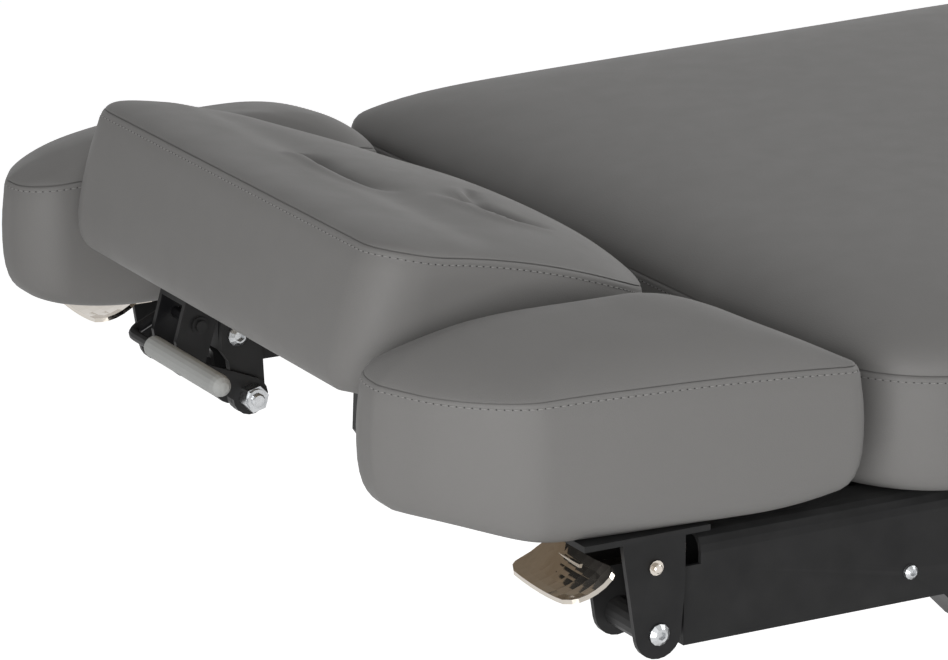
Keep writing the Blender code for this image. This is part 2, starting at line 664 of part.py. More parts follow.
def slotted_eye(start, length, body):
    """A rod along +X of the body's frame, ending in a flat eye with its slot."""
    r = DRIVE_EYE_HALF_HEIGHT
    inner = length - DRIVE_EYE_INNER
    eye = plate(arc(length + DRIVE_EYE_OUTER - r, 0, r, -90, 90) + [(inner, r), (inner, -r)], DRIVE_EYE, 0)
    clear = DRIVE_PIN_RADIUS + PLAY
    slot = plate(arc(length + DRIVE_SLOT, 0, clear, -90, 90) + arc(length - DRIVE_SLOT, 0, clear, 90, 270),
                 3 * DRIVE_EYE, 0)
    rod_end = inner + DRIVE_EYE
    rod = cylinder(DRIVE_ROD_RADIUS, rod_end - start, ((start + rod_end) / 2, 0, 0), "X")
    return in_body(body, unite(cut(eye, slot), rod))


def drive_body(length, down, body):
    """A housing along +X of the body's frame: lift tube, motor below it and the eye on its pin."""
    tube = cylinder(DRIVE_RADIUS, length - DRIVE_TUBE_FROM, ((length + DRIVE_TUBE_FROM) / 2, 0, 0), "X")
    bore = cylinder(DRIVE_ROD_RADIUS + PLAY, length, (DRIVE_BORE_FROM + length / 2, 0, 0), "X")
    r, tail_end = DRIVE_EYE_HALF_HEIGHT, DRIVE_TUBE_FROM + WELD
    tail = plate(arc(0, 0, r, 90, 270) + [(tail_end, -r), (tail_end, r)], DRIVE_EYE, 0,
                 [(0, 0, DRIVE_PIN_RADIUS + PIN_PLAY)])
    low, high = sorted((down * DRIVE_MOTOR_DEPTH, down * DRIVE_ROD_RADIUS * 1.2))
    motor = between((DRIVE_MOTOR_FROM, -DRIVE_RADIUS, low),
                    (DRIVE_MOTOR_FROM + DRIVE_MOTOR_LENGTH, DRIVE_RADIUS, high), 0.006, 2)
    return in_body(body, unite(cut(unite(tube, motor), bore), tail))


def drive_points(pivot, below, angle, y):
    """The housing's pin under the seat's rear bar and the lever's pin, on one circle about the pivot."""
    start = Vector((rear_bar_x, y, pivot.z - below))
    radius = hypot(rear_bar_x - pivot.x, below)
    return start, pivot + Vector((radius * cos(angle), y, radius * sin(angle)))


rear_bar = cross_bar(rear_bar_x, RAIL_BOTTOM + TUBE / 2, seat_inside)
for name, holder, points, bar_z, length, rod_from in (
        ("back", back, drive_points(BACK_PIVOT, BACK_DRIVE_BELOW, BACK_DRIVE_ANGLE, DRIVE_OFFSET),
         RAIL_BOTTOM + TUBE / 2, BACK_DRIVE_LENGTH, BACK_ROD_FROM),
        ("leg", leg, drive_points(LEG_PIVOT, LEG_DRIVE_BELOW, LEG_DRIVE_ANGLE, -DRIVE_OFFSET),
         leg_bar_z, LEG_DRIVE_LENGTH, LEG_ROD_FROM)):
    start, end = points
    run = end - start
    frame = empty(name + "_drive_body", start, atan2(-run.z, run.x), parent=lift)
    rod = empty(name + "_drive_rod_body", start, atan2(-run.z, run.x), parent=frame)
    node(name + "_drive_housing", frame, DRIVE, drive_body(length, 1 if run.x < 0 else -1, frame))
    node(name + "_drive_rod", rod, CHROME, slotted_eye(rod_from, run.length, rod))
    node(name + "_drive_bar", holder, BLACK, unite(
        cross_bar(end.x, bar_z, inside), clevis(end, bar_z - TUBE / 2 + WELD)))
    rear_bar = unite(rear_bar, clevis(start, RAIL_BOTTOM + WELD))
node("seat_rear_bar", lift, BLACK, rear_bar)

# Lifting column
inner_length = COLUMN_LENGTH - 2 * (COLUMN_WALL + COLUMN_GLIDE)
inner_width = COLUMN_WIDTH - 2 * (COLUMN_WALL + COLUMN_GLIDE)
base_top = FOOT_HEIGHT + BASE_THICKNESS
inner_top = plate_top - HEAD_PLATE - GAP
column_bottom = base_top + GAP
node("column_inner", lift, ZINC, hollow_tube(
    (column_x - inner_length / 2, -inner_width / 2, INNER_BOTTOM),
    (column_x + inner_length / 2, inner_width / 2, inner_top), COLUMN_WALL - 0.001, 2))
node("column_outer", base, BLACK, hollow_tube(
    (column_x - COLUMN_LENGTH / 2, -COLUMN_WIDTH / 2, column_bottom),
    (column_x + COLUMN_LENGTH / 2, COLUMN_WIDTH / 2, COLUMN_TOP), COLUMN_WALL, 2))
liner_x, liner_y = COLUMN_LENGTH / 2 - COLUMN_WALL - GAP, COLUMN_WIDTH / 2 - COLUMN_WALL - GAP
liner = between((column_x - liner_x, -liner_y, COLUMN_TOP - GLIDE_HEIGHT),
                (column_x + liner_x, liner_y, COLUMN_TOP), COLUMN_WALL, 2)
node("column_glide", base, GLIDE, cut(liner, between(
    (column_x - inner_length / 2 - GAP, -inner_width / 2 - GAP, 0),
    (column_x + inner_length / 2 + GAP, inner_width / 2 + GAP, 2 * COLUMN_TOP), COLUMN_WALL - 0.001, 2)))

# Base plate on levelling feet, under a moulded cover
feet_x = BASE_LENGTH / 2 - 0.045
feet_y = BASE_WIDTH / 2 - 0.045
corners = [(BASE_X + sx * feet_x, sy * feet_y) for sx in (-1, 1) for sy in (-1, 1)]
slab = between((BASE_X - BASE_LENGTH / 2, -BASE_WIDTH / 2, FOOT_HEIGHT),
               (BASE_X + BASE_LENGTH / 2, BASE_WIDTH / 2, base_top))
slab = cut(slab, *[cylinder(0.005 + PIN_PLAY, 0.05, (x, y, base_top), "Z", 12) for x, y in corners])
node("base_plate", base, BLACK, slab)
foot_profile = [(0, base_top + 0.012), (0.005, base_top + 0.012), (0.005, FOOT_HEIGHT - GAP),
                (FOOT_RADIUS * 0.7, FOOT_HEIGHT - GAP), (FOOT_RADIUS, FOOT_HEIGHT * 0.45),
                (FOOT_RADIUS, 0), (0, 0)]
for (x, y), word in zip(corners, ("head_right", "head_left", "foot_right", "foot_left")):
    node("levelling_foot_" + word, base, FOOT_RUBBER, turned(foot_profile, (x, y, 0), "Z", 16))
cover_x, cover_y = BASE_LENGTH / 2 - COVER_MARGIN, BASE_WIDTH / 2 - COVER_MARGIN
cover_bottom, cover_top = base_top + GAP, base_top + COVER_HEIGHT
sunk = cover_bottom - 2 * COVER_ROUND
shell = between((BASE_X - cover_x, -cover_y, sunk), (BASE_X + cover_x, cover_y, cover_top), COVER_ROUND, 3)
under = between((BASE_X - cover_x + COVER_WALL, -cover_y + COVER_WALL, sunk - COVER_ROUND),
                (BASE_X + cover_x - COVER_WALL, cover_y - COVER_WALL, cover_top - COVER_WALL),
                COVER_ROUND - COVER_WALL, 3)
below = between((BASE_X - BASE_LENGTH, -BASE_WIDTH, -COVER_HEIGHT),
                (BASE_X + BASE_LENGTH, BASE_WIDTH, cover_bottom))
mouth = between((column_x - COLUMN_LENGTH / 2 - GAP, -COLUMN_WIDTH / 2 - GAP, base_top),
                (column_x + COLUMN_LENGTH / 2 + GAP, COLUMN_WIDTH / 2 + GAP, COLUMN_TOP), COLUMN_WALL, 2)
inlet_at = Vector((BASE_X - cover_x, INLET_OFFSET, base_top + COVER_HEIGHT * 0.42))
port = box((2 * INLET_DEPTH, INLET_LENGTH + 2 * PIN_PLAY, INLET_HEIGHT + 2 * PIN_PLAY), inlet_at)
node("base_cover", base, PLASTIC, cut(shell, below, under, mouth, port))


def inlet_block(low, high, margin):
    """A block on the inlet's centre, from low to high along X, wider than the socket by the margin."""
    half_y, half_z = INLET_LENGTH / 2 + margin, INLET_HEIGHT / 2 + margin
    return between((inlet_at.x + low, inlet_at.y - half_y, inlet_at.z - half_z),
                   (inlet_at.x + high, inlet_at.y + half_y, inlet_at.z + half_z))


inlet = unite(inlet_block(-INLET_RIM, INLET_DEPTH, 0), inlet_block(-INLET_RIM, -GAP, INLET_RIM))
node("power_inlet", base, DRIVE, cut(inlet, inlet_block(-INLET_DEPTH, INLET_DEPTH / 2, -INLET_RIM)))


# Headrest, drawn in its own tilted frame about the pivot bolt
def headrest_form(x, y, z, u, v, level):
    """Arched seam; on top a raised roll along the head end, a valley behind it and two pleated dips."""
    rise = HEADREST_ARCH * (1 - u * u) * (1.0 if level == 0 else max(0.0, 1 + z / HEADREST_SIDE))
    if level == 0 and z > 0:
        z *= 1 - 0.55 * min(1.0, max(0.0, (u + 0.6) / 0.9))
        rise -= HEADREST_ROLL * max(0.0, 1 - ((u + 0.38) / 0.22) ** 2) * (1 - v * v)
        rise -= 0.006 * max(0.0, 1 - ((u - 0.12) / 0.30) ** 2 - ((abs(v) - 0.41) / 0.24) ** 2)
    return x, y, z + rise


head_bottom = HEAD_SEAM_OVER_PIVOT - HEADREST_SIDE
piece = pad(HEADREST_LENGTH / 2, HEADREST_HALF_WIDTH, (HEADREST_RADIUS, HEADREST_FOOT_RADIUS) * 2,
            HEADREST_SIDE, HEADREST_CROWN, HEADREST_PUFF, headrest_form, (14, 16))
piece.matrix_world = Matrix.Translation((0, 0, HEAD_SEAM_OVER_PIVOT))
size = (HEADREST_LENGTH - 2 * HEAD_BOARD_END_INSET, 2 * (HEADREST_HALF_WIDTH - 0.6 * BOARD_INSET),
        BOARD_THICKNESS)
at = (-HEAD_BOARD_AHEAD, 0, head_bottom + BOARD_THICKNESS / 2)
node("headrest_cushion", headrest, VINYL, in_body(headrest, cushion(piece, size, at)), smooth=60)
node("headrest_board", headrest, PLY, in_body(headrest, box(size, at, 0.002, 1)))

# The latching bracket hangs off centre, on the far arm; the other arm has a plain one
plates_half = HEAD_ARM_WIDTH / 2 - WELD + DROP_PLATE / 2
flange_half = plates_half + DROP_PLATE / 2 + PLAY + HEAD_FLANGE / 2
web_z = head_bottom - GAP - HEAD_FLANGE / 2
head_arms = (("right", -PLAIN_ARM_OFFSET, PLAIN_KNUCKLE_RADIUS),
             ("left", HEAD_ARM_OFFSET, KNUCKLE_RADIUS))
pin_x, pin_z = -LATCH_PIN_AHEAD, LATCH_PIN_RISE
bolt_hole = (0, 0, HEAD_BOLT_RADIUS + PIN_PLAY)
latch_outline = ([(-LATCH_FROM, web_z), (-LATCH_FROM, 0.030), (-LATCH_FROM + 0.008, 0.0125),
                  (-LATCH_FROM + 0.018, 0.0085)]
                 + arc(0, 0, KNUCKLE_RADIUS, 200, 440, 12)
                 + [(-LATCH_TO - 0.0015, 0.018), (-LATCH_TO, web_z)])
plain_outline = ([(KNUCKLE_RADIUS, web_z), (KNUCKLE_RADIUS, 2 * KNUCKLE_RADIUS)]
                 + arc(0, 0, PLAIN_KNUCKLE_RADIUS, 90, 350, 12) + [(3 * KNUCKLE_RADIUS, web_z)])


def bracket(outline, web, y, holes, wall):
    flanges = [plate(outline, HEAD_FLANGE, y + side * flange_half, holes) for side in (-1, 1)]
    half = flange_half + HEAD_FLANGE / 2
    top = between((web[0], y - half, web_z - HEAD_FLANGE / 2), (web[1], y + half, web_z + HEAD_FLANGE / 2))
    pieces = [flanges[0], top, flanges[1]]
    if wall:
        pieces.append(between((web[0], y - half, web_z - wall), (web[0] + HEAD_FLANGE, y + half, web_z)))
    return unite(*pieces)


rod_hole = (pin_x, pin_z, HANDLE_ROD_RADIUS + PIN_PLAY)
node("headrest_latch_bracket", headrest, BLACK, in_body(headrest, bracket(
    latch_outline, (-LATCH_FROM, BRACKET_FOOT), HEAD_ARM_OFFSET, [bolt_hole, rod_hole], LATCH_LIP)))
node("headrest_plain_bracket", headrest, BLACK, in_body(headrest, bracket(
    plain_outline, (-PLAIN_FROM, BRACKET_FOOT), -PLAIN_ARM_OFFSET, [bolt_hole], 0)))
for word, y, knuckle in head_arms:
    grip = flange_half + HEAD_FLANGE / 2 + PIN_PLAY
    spacer = plates_half - DROP_PLATE / 2 - GAP
    r = HEAD_BOLT_RADIUS
    profile = [(0, grip + 0.005), (0.0085, grip + 0.0045), (0.0085, grip), (r, grip), (r, spacer),
               (r + 0.0035, spacer), (r + 0.0035, -spacer), (r, -spacer), (r, -grip - 0.012),
               (r * 0.8, -grip - 0.0132), (0, -grip - 0.0132)]
    bolt = turned(profile, (0, y, 0))
    nut = cylinder(0.0098, 0.0092, (0, y - grip - 0.0046, 0), "Y", 6)
    collar = cylinder(0.0078, 0.0108, (0, y - grip - 0.0054, 0), "Y", 12)
    node("headrest_pivot_bolt_" + word, headrest, ZINC, in_body(headrest, unite(bolt, nut, collar)))

# Release handle: a cranked rod through the latching bracket, with a rubber grip
grip_x, grip_z = -GRIP_AHEAD, GRIP_RISE
crank_y = HEAD_ARM_OFFSET + flange_half + HEAD_FLANGE / 2 + HANDLE_ROD_RADIUS + 0.004
near_y = HEAD_ARM_OFFSET - flange_half - HEAD_FLANGE / 2
handle_at = headrest.matrix_world @ Vector((pin_x, 0, pin_z))
handle = empty("headrest_handle_body", handle_at, HEADREST_TILT, parent=headrest)
grip_open = crank_y - 0.037
grip_end = grip_open - GRIP_LENGTH
rod = swept([(pin_x, near_y - 0.0045, pin_z), (pin_x, crank_y, pin_z), (grip_x, crank_y, grip_z),
             (grip_x, grip_end + 0.0075, grip_z)], HANDLE_ROD_RADIUS, 0.009, 3)
clip = turned([(0.0062, 0.0006), (0.0062, -0.0006), (0.002, -0.0006), (0.002, 0.0006), (0.0062, 0.0006)],
              (pin_x, near_y - 0.0016, pin_z))
node("headrest_handle_rod", handle, BLACK, in_body(headrest, unite(rod, clip)))
bore = HANDLE_ROD_RADIUS + PIN_PLAY
profile = [(0, GRIP_LENGTH), (GRIP_RADIUS * 0.5, GRIP_LENGTH - 0.001),
           (GRIP_RADIUS * 0.88, GRIP_LENGTH - 0.004), (GRIP_RADIUS, GRIP_LENGTH - 0.008),
           (GRIP_RADIUS, 0.001), (GRIP_RADIUS - 0.001, 0), (bore, 0),
           (bore, GRIP_LENGTH - 0.007), (0, GRIP_LENGTH - 0.007)]
node("headrest_handle_grip", handle, RUBBER, in_body(headrest, turned(
    profile, (grip_x, grip_open, grip_z), "Y", 16, flip=True)))

# Headrest arms: bars from the back frame's head bar up to the drop plates that carry the pivot
arm_bolt = Vector((HEAD_PIVOT.x - HEAD_BOLT_AHEAD, 0, HEAD_PIVOT.z + HEAD_BOLT_RISE))
arm_end = screw_at[0] - TUBE / 2 - GAP
rise = HEAD_ARM_HEIGHT / 2 / cos(HEAD_ARM_SLOPE)
foot_z = arm_bolt.z - (arm_end - arm_bolt.x) * tan(HEAD_ARM_SLOPE)
tip_x = arm_bolt.x - 0.012
tip_z = arm_bolt.z + 0.012 * tan(HEAD_ARM_SLOPE)
arm_outline = [(tip_x, tip_z - rise), (arm_end, foot_z - rise),
               (arm_end, foot_z + rise), (tip_x, tip_z + rise)]
arm_holes = [(arm_bolt.x, arm_bolt.z, HINGE_PIN_RADIUS + PIN_PLAY)]
drop_top = [(0.011, 0.046), (0.005, 0.060), (-0.019, 0.060), (-0.020, 0.034),
            (-0.0145, 0.026), (-0.013, 0.014)]
drop_holes = arm_holes + [(HEAD_PIVOT.x, HEAD_PIVOT.z, HEAD_BOLT_RADIUS + PIN_PLAY)]
for word, y, knuckle in head_arms:
    drop = [(x + HEAD_PIVOT.x, z + HEAD_PIVOT.z) for x, z in arc(0, 0, knuckle, 180, 360, 10) + drop_top]
    arm = plate(arm_outline, HEAD_ARM_WIDTH, y, arm_holes)
    node("headrest_arm_" + word, back, BLACK, unite(
        arm, *[plate(drop, DROP_PLATE, y + face * plates_half, drop_holes) for face in (-1, 1)]))
    across = 2 * plates_half + DROP_PLATE
    node("headrest_arm_bolt_" + word, back, ZINC, hinge_bolt(
        (arm_bolt.x, y, arm_bolt.z), across, HINGE_PIN_RADIUS, -1, head=1.5, nut=1.5))

# Armrests
arm_bottom = SEAM_Z + ARM_SEAM_RISE - ARM_SIDE
arm_web_z = arm_bottom - GAP - ARM_CHEEK / 2
for side, word in ((-1, "right"), (1, "left")):
    pivot = Vector((ARM_PIVOT.x, side * RAIL_MIDDLE, ARM_PIVOT.z))
    body = empty("armrest_%s_body" % word, pivot, parent=back)

    def arm_form(x, y, z, u, v, level):
        """Slanted at both ends, outer edge flaring and a little lower, bottom lifted under both ends."""
        out = v * side
        low = -z / ARM_SIDE if z < 0 else 0.0
        if z > 0:
            z *= 1 - (0.30 - 0.10 * u) * max(0.0, out + 0.5)
        z -= (1 - low) * (ARM_OUTER_DROP + ARM_FOOT_DROP * max(0.0, u) ** 2) * (1 + out) / 2
        z -= (1 - low) * ARM_TIP_DROP * max(0.0, -u - 0.2) ** 2 / 0.64
        z += low * ARM_TIP_LIFT * max(0.0, -u - 0.4) ** 2 / 0.36
        z += low * ARM_FOOT_LIFT * max(0.0, u - 0.5) ** 2 / 0.25
        y += side * ARM_FLARE * u * max(0.0, out + 0.2)
        x -= ARM_FOOT_SLANT * max(0.0, u) * (1 - out) / 2
        x += ARM_TIP_SLANT * max(0.0, -u) ** 1.5 * max(0.0, out + 0.375)
        return x, y, z

    radii = (ARM_TIP_RADIUS, ARM_HEEL_RADIUS, ARM_INNER_RADIUS, ARM_INNER_HEEL_RADIUS)
    radii = radii if side < 0 else radii[2:] + radii[:2]
    piece = pad(ARM_LENGTH / 2, ARM_WIDTH / 2, radii, ARM_SIDE, ARM_CROWN, ARM_PUFF, arm_form, (12, 9))
    middle = (BACK_HEAD_X - ARM_REACH + ARM_LENGTH / 2, side * (ARM_INNER + ARM_WIDTH / 2))
    piece.matrix_world = Matrix.Translation((*middle, SEAM_Z + ARM_SEAM_RISE))
    size = (ARM_BOARD_LENGTH, ARM_WIDTH - BOARD_INSET, BOARD_THICKNESS)
    at = (middle[0] - ARM_BOARD_AHEAD, middle[1], arm_bottom + BOARD_THICKNESS / 2)
    node("armrest_cushion_" + word, body, VINYL, cushion(piece, size, at), smooth=60)
    node("armrest_board_" + word, body, PLY, box(size, at, 0.002, 1))

    r = ARM_CHEEK_RADIUS
    top_z = arm_web_z - pivot.z
    cheek = arc(0, 0, r, 190, 350, 10) + [(0.019, 0.030), (0.019, top_z), (-0.027, top_z)]
    holes = [(0, 0, ARM_BOLT_RADIUS + PIN_PLAY), (-0.003, ARM_PIN_RISE, ARM_PIN_RADIUS + PIN_PLAY)]
    cheeks = [plate(cheek, ARM_CHEEK, side * y, holes, (pivot.x, pivot.z))
              for y in (CHEEK_OUTER, CHEEK_INNER)]
    low = CHEEK_INNER - ARM_CHEEK / 2
    high = CHEEK_OUTER + ARM_CHEEK / 2
    web = between((pivot.x - ARM_WEB_HEAD, min(side * low, side * high), arm_web_z - ARM_CHEEK / 2),
                  (pivot.x + ARM_WEB_FOOT, max(side * low, side * high), arm_web_z + ARM_CHEEK / 2))
    node("armrest_bracket_" + word, body, BLACK, unite(cheeks[0], web, cheeks[1]))
    across = high - low
    bolt = hinge_bolt((pivot.x, pivot.y, pivot.z), across, ARM_BOLT_RADIUS, side, head=1.8)
    node("armrest_pivot_bolt_" + word, body, ZINC, bolt)

    # The release lever turns on a clipped pin; its nose lies over the notch in the rail's end
    pin = Vector((pivot.x - 0.003, pivot.y, pivot.z + ARM_PIN_RISE))
    lever = empty("armrest_%s_lever_body" % word, pin, parent=body)
    grip = across / 2 + PIN_PLAY
    profile = [(0, grip + 0.0046), (0.0024, grip + 0.0046), (ARM_PIN_RADIUS, grip + 0.004),
               (ARM_PIN_RADIUS, grip + 0.0016), (0.0050, grip + 0.0016), (0.0050, grip + 0.0002),
               (ARM_PIN_RADIUS, grip + 0.0002), (ARM_PIN_RADIUS, -grip), (0.0052, -grip),
               (0.0052, -grip - 0.002), (0, -grip - 0.002)]
    clipped_pin = turned(profile, pin, "Y", flip=side < 0)
    hub_width = RAIL_WIDTH - 2 * PLAY
    hub = cylinder(0.0065, hub_width, pin)
    nose = between((pin.x, pin.y - 0.012, pin.z + 0.0005), (pin.x + 0.032, pin.y + 0.012, pin.z + 0.0062))
    bm = bmesh.new()
    bmesh.ops.create_grid(bm, x_segments=6, y_segments=8, size=1.0)
    for vert in bm.verts:
        s, t = vert.co.x, vert.co.y
        ring = max(abs(s), abs(t), 0.001)
        corner = 0.012
        sx, ty = s / ring * PADDLE_LENGTH / 2, t / ring * PADDLE_WIDTH / 2
        core = Vector((max(corner - PADDLE_LENGTH / 2, min(PADDLE_LENGTH / 2 - corner, sx)),
                       max(corner - PADDLE_WIDTH / 2, min(PADDLE_WIDTH / 2 - corner, ty))))
        out = Vector((sx, ty)) - core
        edge = (core + out.normalized() * corner) * ring
        cup = 0.005 * (edge.y / (PADDLE_WIDTH / 2)) ** 2 + 0.004 * (edge.x / (PADDLE_LENGTH / 2)) ** 2
        vert.co = (edge.x, edge.y, cup)
    paddle = raw(bm)
    shell = paddle.modifiers.new("Sheet", "SOLIDIFY")
    shell.thickness = PADDLE_SHEET
    shell.offset = 0.0
    paddle_at = Vector((pin.x - PADDLE_REACH - PADDLE_LENGTH / 2 * cos(PADDLE_SLOPE),
                        pin.y + side * PADDLE_OUT,
                        pin.z + 0.003 - PADDLE_LENGTH / 2 * sin(PADDLE_SLOPE)))
    paddle.matrix_world = Matrix.Translation(paddle_at) @ Matrix.Rotation(-PADDLE_SLOPE, 4, "Y")
    neck_y = pin.y - side * 0.006
    neck = between((pin.x - PADDLE_REACH - 0.010, neck_y - 0.014, pin.z - 0.0012),
                   (pin.x, neck_y + 0.014, pin.z + 0.0034))
    node("armrest_lever_" + word, lever, CHROME, unite(hub, neck, nose, baked(paddle), clipped_pin))
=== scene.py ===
# %% [markdown]
# A facial bed, dressed around its CAD frame
#
# The frame already holds every rigid piece of the bed in its real place: rails, hinges, brackets,
# drives, column and base. What is left for Blender is what the eye sees first: six upholstered pads
# with their seams and stitching, and finishes that tell vinyl, paint, zinc, chrome and rubber apart.
# The first cell loads the frame.

# %% Load the frame
import json
from math import cos, pi, radians, sin

import bpy
import numpy as np
from mathutils import Matrix, Vector

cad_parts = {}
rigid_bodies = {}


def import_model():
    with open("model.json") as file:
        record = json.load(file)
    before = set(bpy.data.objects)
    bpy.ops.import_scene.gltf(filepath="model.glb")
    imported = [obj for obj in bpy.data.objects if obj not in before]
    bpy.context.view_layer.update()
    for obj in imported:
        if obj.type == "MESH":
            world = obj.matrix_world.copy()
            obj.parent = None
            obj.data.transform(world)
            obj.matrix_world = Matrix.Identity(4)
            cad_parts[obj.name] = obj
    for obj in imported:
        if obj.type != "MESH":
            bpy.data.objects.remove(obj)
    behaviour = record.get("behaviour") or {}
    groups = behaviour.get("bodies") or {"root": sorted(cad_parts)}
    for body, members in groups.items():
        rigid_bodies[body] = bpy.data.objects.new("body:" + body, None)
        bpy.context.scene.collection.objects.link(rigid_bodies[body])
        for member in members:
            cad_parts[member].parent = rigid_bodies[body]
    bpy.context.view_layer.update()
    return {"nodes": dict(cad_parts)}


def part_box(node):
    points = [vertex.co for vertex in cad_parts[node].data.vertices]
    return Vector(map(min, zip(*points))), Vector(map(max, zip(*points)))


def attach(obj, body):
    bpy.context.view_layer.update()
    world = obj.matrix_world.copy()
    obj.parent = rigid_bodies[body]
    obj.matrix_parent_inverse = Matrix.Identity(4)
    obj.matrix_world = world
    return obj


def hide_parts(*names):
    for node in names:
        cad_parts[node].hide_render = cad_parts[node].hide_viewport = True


for left_over in list(bpy.data.objects):
    bpy.data.objects.remove(left_over)
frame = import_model()
nodes = frame["nodes"]

# %% [markdown]
# The camera
#
# The straight seams and rails of the real bed give the view: it stands low on the client's right, ahead
# of the headrest, and looks from far away through a long lens. A long lens keeps parallel edges nearly
# parallel, so the near and the far armrest come out almost the same size.

# %% Camera
PICTURE_WIDTH = 948
FOCAL_PIXELS = 5000
SENSOR = 36.0
TOWARDS_CAMERA = Vector((-0.4623, -0.8378, 0.2905))

camera_data = bpy.data.cameras.new("long_lens")
camera_data.sensor_width = SENSOR
camera_data.lens = SENSOR * FOCAL_PIXELS / PICTURE_WIDTH
camera_data.clip_end = 100
camera = bpy.data.objects.new("long_lens", camera_data)
camera.location = (-2.3283, -2.8797, 1.6107)
camera.rotation_euler = TOWARDS_CAMERA.to_track_quat("Z", "Y").to_euler()
bpy.context.scene.collection.objects.link(camera)
bpy.context.scene.camera = camera
bpy.context.scene.view_settings.view_transform = "Standard"
print("camera lens:", round(camera_data.lens, 1), "mm")

# %% [markdown]
# Shared surface effects
#
# Several finishes need the same effects: a soft mottling that keeps a plain colour from looking
# printed, a fine pebble grain, and a painted highlight that makes sharp edges paler. Each is one
# node group with named sockets. A group gives out only values; the shader itself stays in the
# material, where the export can read it.

# %% Node group helper
def node_group(name, inputs, outputs):
    """An empty shader node group with its sockets, and its input and output nodes."""
    group = bpy.data.node_groups.new(name, "ShaderNodeTree")
    for socket, default in inputs.items():
        made = group.interface.new_socket(socket, in_out="INPUT", socket_type="NodeSocketFloat")
        made.default_value = default
    for socket in outputs:
        group.interface.new_socket(socket, in_out="OUTPUT", socket_type="NodeSocketFloat")
    return group, group.nodes.new("NodeGroupInput"), group.nodes.new("NodeGroupOutput")


def add(tree, kind, links=None, **values):
    """A node with its settings; links gives what feeds each input, as sockets or plain values."""
    made = tree.nodes.new("ShaderNode" + kind)
    for key, value in values.items():
        setattr(made, key, value)
    for key, source in (links or {}).items():
        if isinstance(source, bpy.types.NodeSocket):
            tree.links.new(source, made.inputs[key])
        else:
            made.inputs[key].default_value = source
    return made


print("helpers ready")

# %% Mottling, pebble grain and edge wear
mottle, given, result = node_group("mottling", {"Scale": 8.0, "Fine scale": 90.0}, ("Broad", "Fine"))
place = add(mottle, "TexCoord").outputs["Object"]
broad = add(mottle, "TexNoise", {"Vector": place, "Scale": given.outputs["Scale"], "Detail": 3.0})
fine = add(mottle, "TexNoise", {"Vector": place, "Scale": given.outputs["Fine scale"], "Detail": 4.0})
mottle.links.new(broad.outputs["Fac"], result.inputs["Broad"])
mottle.links.new(fine.outputs["Fac"], result.inputs["Fine"])

pebble, given, result = node_group("pebble grain", {"Cell scale": 700.0, "Crease": 0.6}, ("Height",))
place = add(pebble, "TexCoord").outputs["Object"]
sway = add(pebble, "TexNoise", {"Vector": place, "Scale": 60.0, "Detail": 2.0})
stretched = add(pebble, "VectorMath", {0: sway.outputs["Color"], 1: (0.0012, 0.0012, 0.0012), 2: place},
                operation="MULTIPLY_ADD")
cells = add(pebble, "TexVoronoi", {"Vector": stretched.outputs["Vector"],
                                   "Scale": given.outputs["Cell scale"]}, feature="DISTANCE_TO_EDGE")
rounded = add(pebble, "Math", {0: cells.outputs["Distance"], 1: given.outputs["Crease"]}, operation="POWER")
pores = add(pebble, "TexNoise", {"Vector": place, "Scale": 1500.0, "Detail": 2.0})
height = add(pebble, "Math", {0: pores.outputs["Fac"], 1: 0.25, 2: rounded.outputs["Value"]},
             operation="MULTIPLY_ADD")
pebble.links.new(height.outputs["Value"], result.inputs["Height"])

# Painted highlight: a paler colour along sharp edges, found by the geometry's pointiness and broken up by
# noise.
edge_highlight, given, result = node_group("painted edge highlight", {"Start": 0.52, "End": 0.60, "Patchiness": 40.0}, ("Painted highlight",))
geometry = add(edge_highlight, "NewGeometry")
edge = add(edge_highlight, "MapRange", {"Value": geometry.outputs["Pointiness"], "From Min": given.outputs["Start"],
                              "From Max": given.outputs["End"]})
patches = add(edge_highlight, "TexNoise", {"Vector": add(edge_highlight, "TexCoord").outputs["Object"],
                                 "Scale": given.outputs["Patchiness"], "Detail": 5.0})
painted_highlight = add(edge_highlight, "Math", {0: edge.outputs["Result"], 1: patches.outputs["Fac"]}, operation="MULTIPLY")
edge_highlight.links.new(painted_highlight.outputs["Value"], result.inputs["Painted highlight"])
print("node groups:", [g.name for g in bpy.data.node_groups])

# %% [markdown]
# Finishes
#
# Small functions make a material with its Principled shader, its two tones, its gloss and its bump, and
# each finish puts them together with its own values. The vinyl is a warm mid grey with a fine pebble
# grain and an uneven satin gloss. Painted steel gets a faint orange peel and a painted highlight that
# makes its edges slightly paler, zinc a cloudy plating, chrome a trace of smudging.

# %% Material helper
def finish(name, roughness, metallic=0.0):
    """A new material: its tree and its Principled shader."""
    material = bpy.data.materials.new(name)
    material.use_nodes = True
    shader = material.node_tree.nodes["Principled BSDF"]
    shader.inputs["Roughness"].default_value = roughness
    shader.inputs["Metallic"].default_value = metallic
    return material, material.node_tree, shader


def placed(tree, group, **values):
    """A node group placed in a material with its own values."""
    made = tree.nodes.new("ShaderNodeGroup")
    made.node_tree = group
    for key, value in values.items():
        made.inputs[key.replace("_", " ")].default_value = value
    return made


def two_tones(tree, shader, mask, dark, light):
    """Base colour between two tones, by a mask."""
    ramp = add(tree, "ValToRGB", {"Fac": mask})
    ramp.color_ramp.elements[0].color = (*dark, 1)
    ramp.color_ramp.elements[1].color = (*light, 1)
    ramp.color_ramp.elements[0].position, ramp.color_ramp.elements[1].position = 0.3, 0.7
    tree.links.new(ramp.outputs["Color"], shader.inputs["Base Color"])
    return ramp


def uneven_gloss(tree, shader, mask, low, high):
    """Roughness between two values, by a mask."""
    spread = add(tree, "MapRange", {"Value": mask, "From Min": 0.3, "From Max": 0.7, "To Min": low,
                                    "To Max": high})
    tree.links.new(spread.outputs["Result"], shader.inputs["Roughness"])


def bumped(tree, shader, height, strength, distance):
    """A bump from a height value."""
    bump = add(tree, "Bump", {"Height": height, "Strength": strength, "Distance": distance})
    tree.links.new(bump.outputs["Normal"], shader.inputs["Normal"])


